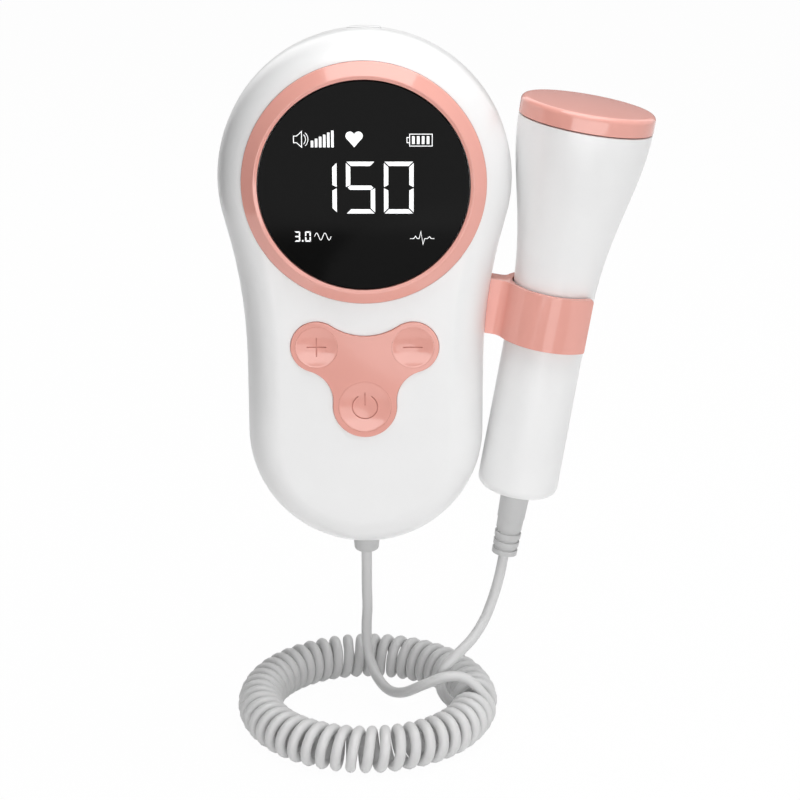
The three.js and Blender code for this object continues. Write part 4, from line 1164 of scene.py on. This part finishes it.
class MONITOR_OT_clip(Step, bpy.types.Operator):
    """Models the clip: an open ring for the probe, on a neck that the shells hold by a tongue"""

    bl_idname = "monitor.clip"
    bl_label = "Clip"

    def build(self, size):
        case, clip, at = size.case, size.clip, size.at
        band = keep_common(self.band(at, case, clip), self.front_plate(at, clip))
        finished(cut_outside(size, band), clip.edge, 3, clip.crease)
        foot_x = case.tail_radius - clip.foot_reach
        low, high = at.clip_middle.z - clip.tongue_height / 2, at.clip_middle.z + clip.tongue_height / 2
        tongue = block(
            (foot_x - clip.foot_thickness / 2, at.parting - clip.tongue_width / 2, low),
            (at.clip_middle.x - clip.bore - clip.wall, at.parting + clip.tongue_width / 2, high),
        )
        foot = block(
            (foot_x - clip.foot_thickness, at.parting - clip.foot_width / 2, low),
            (foot_x, at.parting + clip.foot_width / 2, high),
        )
        placed(join(band, join(tongue, foot)), "monitor", "rose_plastic", "probe_clip")

    def band(self, at, case, clip):
        """Draws the section square to the probe and raises it along the probe."""
        base = at.clip_middle - at.probe_axis * clip.height / 2
        axis = at.probe_side.cross(BACK)
        outer, half = clip.bore + clip.wall, clip.neck_width / 2
        fillet_back = half + clip.fillet
        fillet_across = -math.sqrt((outer + clip.fillet) ** 2 - fillet_back**2)
        meet = math.atan2(fillet_back, -fillet_across)
        sweep = HALF_TURN - meet - clip.mouth
        far = -(outer + case.depth / 2)

        def place(across, back):
            return base + at.probe_side * across + BACK * back

        def jaw_end(radius, side):
            return place(radius * math.cos(clip.mouth), side * radius * math.sin(clip.mouth))

        pen = Pen(jaw_end(outer, 1))
        pen.arc(base, axis, sweep, clip.jaw_steps)
        pen.arc(place(fillet_across, fillet_back), axis, meet - QUARTER_TURN, clip.fillet_steps)
        pen.line_to(place(far, half))
        pen.line_to(place(far, -half))
        pen.line_to(place(fillet_across, -half))
        pen.arc(place(fillet_across, -fillet_back), axis, meet - QUARTER_TURN, clip.fillet_steps)
        pen.arc(base, axis, sweep, clip.jaw_steps)
        pen.line_to(jaw_end(clip.bore, -1))
        pen.arc(base, axis, 2 * clip.mouth - FULL_TURN, 2 * clip.jaw_steps)
        pen.line_to(jaw_end(outer, 1))
        pen.close(-at.probe_axis)
        raise_face(at.probe_axis * clip.height)
        return outwards("clip_probe")

    def front_plate(self, at, clip):
        """The clip as seen from the front, with the jaws' corners rounded, as a thick plate."""
        far = FRONT * at.beyond / 2
        end = at.clip_middle + at.probe_side * (clip.bore + clip.wall) * math.cos(clip.mouth) + far
        top, foot = end + at.probe_axis * clip.height / 2, end - at.probe_axis * clip.height / 2
        start = foot - at.probe_side * clip.lower_corner
        pen = Pen(start)
        pen.arc(start + at.probe_axis * clip.lower_corner, FRONT, QUARTER_TURN, clip.corner_steps)
        pen.line_to(top - at.probe_axis * clip.upper_corner)
        pen.arc(pen.here - at.probe_side * clip.upper_corner, FRONT, QUARTER_TURN, clip.corner_steps)
        pen.line_to(pen.here - at.probe_side * at.beyond / 2)
        pen.line_to(pen.here - at.probe_axis * clip.height)
        pen.line_to(start)
        pen.close(FRONT)
        raise_face(-2 * far)
        return outwards("plate")


def probe_radius(probe, height):
    """The housing's radius: a straight handle, a slight waist and a flare."""

    def smooth(share):
        share = min(max(share, 0), 1)
        return share * share * (3 - 2 * share)

    flare = smooth((height - probe.flare_start) / (probe.length - probe.flare_start)) ** 2
    slim = smooth(height / probe.waist_height)
    handle = probe.handle_radius + (probe.waist_radius - probe.handle_radius) * slim
    return handle + (probe.top_radius - probe.waist_radius) * flare


class MONITOR_OT_probe(Step, bpy.types.Operator):
    """Models the probe's housing, cap and ribbed strain relief"""

    bl_idname = "monitor.probe"
    bl_label = "Probe"

    def build(self, size):
        case, probe, at = size.case, size.probe, size.at
        place = (at.probe_foot, at.probe_axis, at.probe_side, probe.steps)
        housing = turned("probe_body", self.housing(probe, case), *place)
        placed(finished(housing, case.seam, 3, probe.crease), "probe", "case_white", "probe_housing")
        cap = turned("probe_cap_rose", self.cap(probe, case), *place)
        placed(finished(cap, case.seam / 2, 2, probe.crease), "probe", "rose_plastic", "probe_cap")
        relief = turned("probe_relief", self.relief(probe, case), *place)
        finished(relief, case.seam / 2, 3, probe.rib_crease)
        placed(relief, "probe", "grey_rubber", "probe_strain_relief", finish="relief_grey")

    def housing(self, probe, case):
        hole, corner, steps = probe.relief_neck + case.seam, probe.bottom_round, probe.side_steps
        bottom = [
            (probe.handle_radius - corner * (1 - side), corner * (1 - up))
            for side, up in reversed(quarter(probe.corner_steps))
        ]
        heights = [corner + (probe.length - corner) * i / steps for i in range(1, steps + 1)]
        outer = [(probe_radius(probe, height), height) for height in heights]
        inner = [(radius - probe.wall, height) for radius, height in reversed(outer)]
        floor = [(probe.handle_radius - corner, probe.floor), (hole, probe.floor)]
        return [(hole, 0), *bottom, *outer, *inner, *floor]

    def cap(self, probe, case):
        bottom, steps = probe.length + case.seam, probe.rim_steps
        top, radius = bottom + probe.cap_height, probe.top_radius + probe.cap_proud
        spigot = probe.top_radius - probe.wall - 2 * case.seam
        recess = spigot - probe.spigot_wall
        rim = [
            (radius - probe.cap_round * (1 - side), top - probe.cap_crown - probe.cap_round * (1 - up))
            for side, up in quarter(steps)
        ]
        inwards = [1 - i / steps for i in range(1, steps + 1)]
        return [
            (0, top - probe.cap_face),
            (recess, top - probe.cap_face),
            (recess, bottom - probe.spigot_length),
            (spigot, bottom - probe.spigot_length),
            (spigot, bottom),
            (radius, bottom),
            *rim,
            *[(rim[-1][0] * share, top - probe.cap_crown * share**2) for share in inwards],
        ]

    def relief(self, probe, case):
        pitch = (probe.relief_length - probe.relief_plain) / probe.relief_ribs

        def radius_at(down):
            return probe.relief_radius + (probe.relief_end - probe.relief_radius) * down / probe.relief_length

        ribs = []
        for i in range(probe.relief_ribs):
            top = probe.relief_plain + i * pitch
            rib_top = top + pitch * probe.groove_share
            bottom = top + pitch
            ribs += [
                (radius_at(top) - probe.relief_groove, -top),
                (radius_at(rib_top) - probe.relief_groove, -rib_top),
                (radius_at(rib_top), -rib_top),
                (radius_at(bottom), -bottom),
            ]
        flange_bottom = probe.floor + case.seam
        flange_top = flange_bottom + probe.relief_flange_height
        return [
            (0, flange_top),
            (probe.relief_flange, flange_top),
            (probe.relief_flange, flange_bottom),
            (probe.relief_neck, flange_bottom),
            (probe.relief_neck, -case.seam),
            (probe.relief_radius, -case.seam),
            (radius_at(probe.relief_collar), -probe.relief_collar),
            (radius_at(probe.relief_collar) - probe.relief_step, -probe.relief_collar),
            (radius_at(probe.relief_plain) - probe.relief_step, -probe.relief_plain),
            *ribs,
            (0, -probe.relief_length),
        ]


# Cord: the routes of its free stretches, given point by point

CASE_LEAD = [
    (0, -0.015, -0.075), (0, -0.015, -0.08), (0, -0.015, -0.086),
    (0.0001, -0.0138, -0.0927), (-0.0002, -0.0117, -0.0991), (-0.0001, -0.0101, -0.1052),
    (0.0008, -0.0108, -0.1106), (0.0027, -0.0136, -0.1144), (0.0059, -0.0188, -0.116),
    (0.01, -0.0252, -0.1139), (0.0155, -0.0296, -0.1096), (0.0214, -0.0305, -0.1067),
    (0.0257, -0.0303, -0.1066), (0.0282, -0.0304, -0.1075),
]
PROBE_LEAD = [
    (0.0218, -0.0276, -0.1139), (0.0207, -0.0275, -0.1114), (0.0206, -0.0272, -0.1086),
    (0.0216, -0.0269, -0.1058), (0.0249, -0.0256, -0.1024), (0.0296, -0.0224, -0.0985),
    (0.0329, -0.0187, -0.0946), (0.0349, -0.0163, -0.0905), (0.0363, -0.0152, -0.0863),
    (0.0373, -0.015, -0.0821),
]


def curl_place(cord, at, turn, phase):
    out = Vector((math.cos(turn), math.sin(turn), 0))
    centre = Vector((cord.ring_x, cord.ring_y, at.curl_z))
    reach = cord.ring_radius + cord.curl_radius * math.cos(phase)
    return centre + out * reach + UP * cord.curl_radius * math.sin(phase)


def curl_route(cord, at):
    """Points along the curls, with the direction of travel at both ends."""
    steps = round(cord.curls * cord.curl_steps)
    sweep = FULL_TURN + cord.start_angle - cord.end_angle

    def place(share):
        return curl_place(
            cord, at, cord.start_angle - sweep * share, cord.start_phase - FULL_TURN * cord.curls * share
        )

    points = [place(i / steps) for i in range(steps + 1)]
    nudge = 1 / steps / 1000
    leaving = (place(nudge) - place(-nudge)).normalized()
    arriving = (place(1 + nudge) - place(1 - nudge)).normalized()
    return points, leaving, arriving


def smoothed(points, steps):
    """A centripetal curve through the points."""
    points = [Vector(point) for point in points]
    padded = [2 * points[0] - points[1], *points, 2 * points[-1] - points[-2]]
    curve = []
    for before, start, end, after in zip(padded, padded[1:], padded[2:], padded[3:]):
        one, two, three = [
            max((b - a).length ** 0.5, NEAR) for a, b in ((before, start), (start, end), (end, after))
        ]
        leave = (start - before) / one - (end - before) / (one + two) + (end - start) / two
        arrive = (end - start) / two - (after - start) / (two + three) + (after - end) / three
        for i in range(steps):
            t = i / steps
            curve.append(
                start * (2 * t**3 - 3 * t**2 + 1)
                + leave * two * (t**3 - 2 * t**2 + t)
                + end * (3 * t**2 - 2 * t**3)
                + arrive * two * (t**3 - t**2)
            )
    return [*curve, points[-1]]


def tube(name, points, diameter):
    """A round cord along its points, as a curve."""
    line = bpy.data.curves.new(name, "CURVE")
    line.dimensions = "3D"
    line.bevel_depth = diameter / 2
    line.bevel_resolution = 5
    line.use_fill_caps = True
    spline = line.splines.new("POLY")
    spline.points.add(len(points) - 1)
    for point, place in zip(spline.points, points):
        point.co = (*place, 1)
    spline.use_smooth = True
    piece = bpy.data.objects.new(name, line)
    bpy.context.collection.objects.link(piece)
    return piece


class MONITOR_OT_cord(Step, bpy.types.Operator):
    """Models the cord: the case's lead with the curls, and the probe's lead"""

    bl_idname = "monitor.cord"
    bl_label = "Cord"

    def build(self, size):
        case, cord, at = size.case, size.cord, size.at
        half, aside = cord.diameter / 2, cord.diameter / 2 + case.seam
        curls, leaving, arriving = curl_route(cord, at)
        start, end = curls[0] - leaving * cord.diameter, curls[-1] + arriving * cord.diameter
        before = [start - leaving * aside, start - leaving * case.seam]
        main = [*smoothed([*CASE_LEAD, *before], cord.lead_steps), start, *curls, end]
        piece = tube("cord_to_curls", main, cord.diameter)
        placed(piece, "monitor", "grey_rubber", "cord_case_lead", "cord_curly", finish="cord_grey")
        below = at.relief_end - at.probe_axis * case.seam
        after = [below - at.probe_axis * half, below, at.relief_end]
        lead = smoothed([end, end + arriving * aside, *PROBE_LEAD, *after], cord.lead_steps)
        piece = tube("cord_to_probe", lead, cord.diameter)
        choose(piece)
        bpy.ops.object.convert(target="MESH")
        piece.data.materials.append(finish_of("cord_grey"))
        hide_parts("cord_probe_lead")
        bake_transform(piece)


class MONITOR_OT_gland(Step, bpy.types.Operator):
    """Models the gland where the cord leaves the case"""

    bl_idname = "monitor.gland"
    bl_label = "Gland"

    def build(self, size):
        case, cord, at = size.case, size.cord, size.at
        bottom, corner = -cord.gland_length, cord.gland_round
        end = [
            (cord.gland_end - corner * (1 - side), bottom + corner * (1 - up))
            for side, up in quarter(cord.lead_steps)
        ]
        profile = [(0, case.wall), (cord.gland_radius, case.wall), (cord.gland_radius, 0), *end, (0, bottom)]
        gland = turned("gland_case", profile, (0, at.parting, at.foot), UP, RIGHT, cord.gland_steps)
        flange, over = at.foot + case.wall + cord.gland_flange_lift, case.overrun
        cut_outside(size, gland)
        neck = rod_up(cord.gland_neck, at.parting, at.foot - over, flange + over / 2, cord.neck_steps)
        inner = rod_up(
            cord.gland_flange, at.parting, flange, flange + cord.gland_flange_height, cord.neck_steps
        )
        join(gland, neck, inner)
        placed(
            finished(gland, case.seam / 2, 2), "monitor", "grey_rubber", "cord_gland", finish="relief_grey"
        )


INNER_FINISHES = {
    "foam": ["display_gasket"],
    "display": ["display_panel"],
    "board": ["main_board", "charge_board", "probe_board"],
    "switch_black": ["key_switch_plus", "key_switch_minus", "key_switch_power"],
    "battery_wrap": ["battery_pack"],
    "speaker_grey": ["loudspeaker"],
    "steel": ["charging_socket", "case_screw_1", "case_screw_2", "case_screw_3", "case_screw_4"],
    "ceramic": ["transmit_crystal", "receive_crystal"],
    "resin": ["crystal_backing"],
}


class MONITOR_OT_inner_pieces(Step, bpy.types.Operator):
    """Gives the pieces inside the case and the probe their finishes"""

    bl_idname = "monitor.inner_pieces"
    bl_label = "Inner pieces"

    def build(self, size):
        for finish, nodes in INNER_FINISHES.items():
            for node in nodes:
                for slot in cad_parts[node].material_slots:
                    slot.material = finish_of(finish)


class StageSizes(bpy.types.PropertyGroup):
    floor_size: length(6.0)
    card_x: length(-0.33)
    card_y: length(-0.15)
    card_z: length(0.2)
    card_height: length(0.7)
    card_depth: length(1.0)
    dark_y: length(-0.43)
    dark_width: length(0.5)
    dark_depth: length(0.38)
    behind_x: length(0.12)
    behind_y: length(0.55)
    behind_z: length(0.12)
    behind_width: length(0.5)
    behind_height: length(0.3)
    light_x: length(0.063)
    light_y: length(-0.5)
    light_width: length(0.186)
    light_depth: length(0.38)
    light_steps: count(96, "Corners of the oval card")
    light_strength: number(1.8, "Light of the oval card")
    soft_strength: number(0.27, "Light from all sides")
    white_share: number(0.975, "How far the floor is plain white where it is seen")
    reflection_lift: length(0.001, "Each of those cards over what is under it")
    camera_x: length(0.00951)
    camera_y: length(-0.5692)
    camera_z: length(0.148)
    camera_pitch: angle(17.9, "How far the camera looks down")
    camera_shift: number(-0.001, "Share of the picture's width")
    lens: number(95.985, "Focal length in millimetres")
    nearest: length(0.01, "Nearest thing that the camera sees")
    sensor: number(36, "Width of the sensor in millimetres")


LAMP_TARGET = Vector((0.01, -0.015, -0.01))
LAMPS = {
    "overhead": SimpleNamespace(place=(0.15, -0.1, 0.85), size=(0.95, 0.7), power=7.7),
    "front": SimpleNamespace(place=(0.05, -0.95, 0.42), size=(0.8, 0.6), power=1.45),
    "low": SimpleNamespace(place=(0.05, -0.62, -0.06), size=(0.7, 0.13), power=0.85),
    "back": SimpleNamespace(place=(0.1, 0.75, 0.4), size=(1.2, 0.5), power=0.9),
}


class MONITOR_OT_stage(Step, bpy.types.Operator):
    """Sets the floor, the soft lamps, the cards and the camera"""

    bl_idname = "monitor.stage"
    bl_label = "Stage"

    def build(self, size):
        stage, floor_z = size.stage, -size.cord.floor_drop
        self.camera(stage)
        bpy.ops.mesh.primitive_grid_add(
            x_subdivisions=4, y_subdivisions=4, size=stage.floor_size, location=(0, 0, floor_z)
        )
        self.declared("floor", self.paper(stage))
        self.world(stage)
        for name, lamp in LAMPS.items():
            self.lamp(name, lamp)
        black = moulded("card_black", (0.02, 0.02, 0.02), roughness=0.9, grain=900, bump=0.1)
        grey = moulded("card_grey", (0.3, 0.3, 0.3), roughness=0.9, grain=900, bump=0.1)
        bpy.ops.mesh.primitive_plane_add(
            size=1,
            location=(stage.card_x, stage.card_y, stage.card_z),
            rotation=(0, QUARTER_TURN, 0),
            scale=(stage.card_height, stage.card_depth, 1),
        )
        self.declared("black_card", black).visible_camera = False
        level = floor_z + stage.reflection_lift
        bpy.ops.mesh.primitive_plane_add(size=2, location=(0, stage.dark_y, level))
        self.reflected("dark_reflection", stage.dark_width, stage.dark_depth, black)
        bpy.ops.mesh.primitive_plane_add(
            size=2, location=(stage.behind_x, stage.behind_y, stage.behind_z), rotation=(QUARTER_TURN, 0, 0)
        )
        self.reflected("back_reflection", stage.behind_width, stage.behind_height, grey)
        place = (stage.light_x, stage.light_y, level + stage.reflection_lift)
        bpy.ops.mesh.primitive_circle_add(
            vertices=stage.light_steps, radius=1, fill_type="NGON", location=place
        )
        self.reflected("light_reflection", stage.light_width, stage.light_depth, self.soft_light(stage))
        bpy.context.scene.view_settings.view_transform = "Standard"

    def camera(self, stage):
        place = (stage.camera_x, stage.camera_y, stage.camera_z)
        bpy.ops.object.camera_add(location=place, rotation=(QUARTER_TURN - stage.camera_pitch, 0, 0))
        camera = bpy.context.object
        camera.name = "photo_camera"
        camera.data.lens = stage.lens
        camera.data.sensor_width = stage.sensor
        camera.data.shift_x = stage.camera_shift
        camera.data.clip_start = stage.nearest
        bpy.context.scene.camera = camera

    def lamp(self, name, lamp):
        """A rectangular soft lamp that looks at the object."""
        bpy.ops.object.light_add(type="AREA", location=lamp.place)
        light = bpy.context.object
        light.name = f"lamp_{name}"
        light.rotation_euler = (LAMP_TARGET - Vector(lamp.place)).to_track_quat("-Z", "Y").to_euler()
        light.data.shape = "RECTANGLE"
        light.data.size, light.data.size_y = lamp.size
        light.data.energy = lamp.power

    def declared(self, name, material):
        """Names the new piece and gives it its material."""
        piece = bpy.context.object
        piece.name = name
        piece.data.materials.append(material)
        return piece

    def reflected(self, name, width, depth, material):
        """Makes the new flat card one that only shows as a reflection in the object."""
        card = self.declared(name, material)
        card.scale = (width / 2, depth / 2, 1)
        card.visible_camera = card.visible_diffuse = card.visible_transmission = card.visible_shadow = False

    def soft_light(self, stage):
        """An evenly lit face, a little brighter than white paper."""
        material, tree, main = shader("soft_light")
        light = ramp(tree, noise(tree, 3.0, 1.0), (0.97, 0.97, 0.97), (1, 1, 1))
        fill(tree, main, {
            "Emission Color": light, "Emission Strength": stage.light_strength, "Base Color": (0, 0, 0, 1),
        })
        return material

    def paper(self, stage):
        """White paper: it takes the object's shadow, and looks white to the camera."""
        material, tree, main = shader("paper_white")
        tone = ramp(tree, noise(tree, 400.0), (0.9, 0.9, 0.9), (0.92, 0.92, 0.92))
        fill(tree, main, {"Base Color": tone, "Roughness": 0.8, "Specular IOR Level": 0.1})
        share = add(tree, "Math", {0: self.seen(tree), 1: stage.white_share})
        share.operation = "MULTIPLY"
        glow = add(tree, "Emission")
        mix = add(tree, "MixShader", {
            "Fac": share.outputs["Value"], 1: main.outputs["BSDF"], 2: glow.outputs["Emission"],
        })
        fill(tree, tree.nodes["Material Output"], {"Surface": mix.outputs["Shader"]})
        return material

    def seen(self, tree):
        """One where the camera looks straight, or through a reflection or glass."""
        rays = add(tree, "LightPath").outputs
        total = rays["Is Camera Ray"]
        for ray in ("Is Glossy Ray", "Is Transmission Ray"):
            step = add(tree, "Math", {0: total, 1: rays[ray]})
            step.operation = "MAXIMUM"
            total = step.outputs["Value"]
        return total

    def world(self, stage):
        """Soft light from all sides, behind which the picture stays white."""
        world = bpy.data.worlds.new("studio")
        bpy.context.scene.world = world
        world.use_nodes = True
        tree = world.node_tree
        white = (1, 1, 1, 1)
        soft = fill(tree, tree.nodes["Background"], {"Color": white, "Strength": stage.soft_strength})
        bright = add(tree, "Background", {"Color": white, "Strength": 1.0})
        mix = add(tree, "MixShader", {
            "Fac": self.seen(tree), 1: soft.outputs["Background"], 2: bright.outputs["Background"],
        })
        fill(tree, tree.nodes["World Output"], {"Surface": mix.outputs["Shader"]})


GROUPS = {
    "monitor_case": CaseSizes,
    "monitor_display": DisplaySizes,
    "monitor_keys": KeySizes,
    "monitor_back": BackSizes,
    "monitor_port": PortSizes,
    "monitor_clip": ClipSizes,
    "monitor_probe": ProbeSizes,
    "monitor_cord": CordSizes,
    "monitor_colours": Colours,
    "monitor_stage": StageSizes,
}

STEPS = (
    MONITOR_OT_stage,
    MONITOR_OT_cord,
    MONITOR_OT_front_shell,
    MONITOR_OT_rear_shell,
    MONITOR_OT_door_and_cover,
    MONITOR_OT_display,
    MONITOR_OT_keypad,
    MONITOR_OT_clip,
    MONITOR_OT_probe,
    MONITOR_OT_gland,
    MONITOR_OT_inner_pieces,
)


class MONITOR_PT_panel(bpy.types.Panel):
    """Lists the steps and the sizes of the monitor"""

    bl_label = "Fetal heart monitor"
    bl_idname = "MONITOR_PT_panel"
    bl_space_type = "VIEW_3D"
    bl_region_type = "UI"
    bl_category = "Monitor"

    def draw(self, context):
        for step in STEPS:
            self.layout.operator(step.bl_idname)
        for name in GROUPS:
            box = self.layout.box()
            group = getattr(context.scene, name)
            box.label(text=name.replace("_", " ").capitalize())
            for key in group.__annotations__:
                box.prop(group, key, text=key.replace("_", " ").capitalize())


def register():
    for group in GROUPS.values():
        bpy.utils.register_class(group)
    for name, group in GROUPS.items():
        setattr(bpy.types.Scene, name, PointerProperty(type=group))
    for step in STEPS:
        bpy.utils.register_class(step)
    bpy.utils.register_class(MONITOR_PT_panel)


def unregister():
    bpy.utils.unregister_class(MONITOR_PT_panel)
    for step in reversed(STEPS):
        bpy.utils.unregister_class(step)
    for name, group in reversed(GROUPS.items()):
        delattr(bpy.types.Scene, name)
        bpy.utils.unregister_class(group)


def main():
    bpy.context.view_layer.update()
    register()
    for step in STEPS:
        getattr(bpy.ops.monitor, step.bl_idname.removeprefix("monitor."))()
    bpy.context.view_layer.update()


if __name__ == "__main__":
    main()
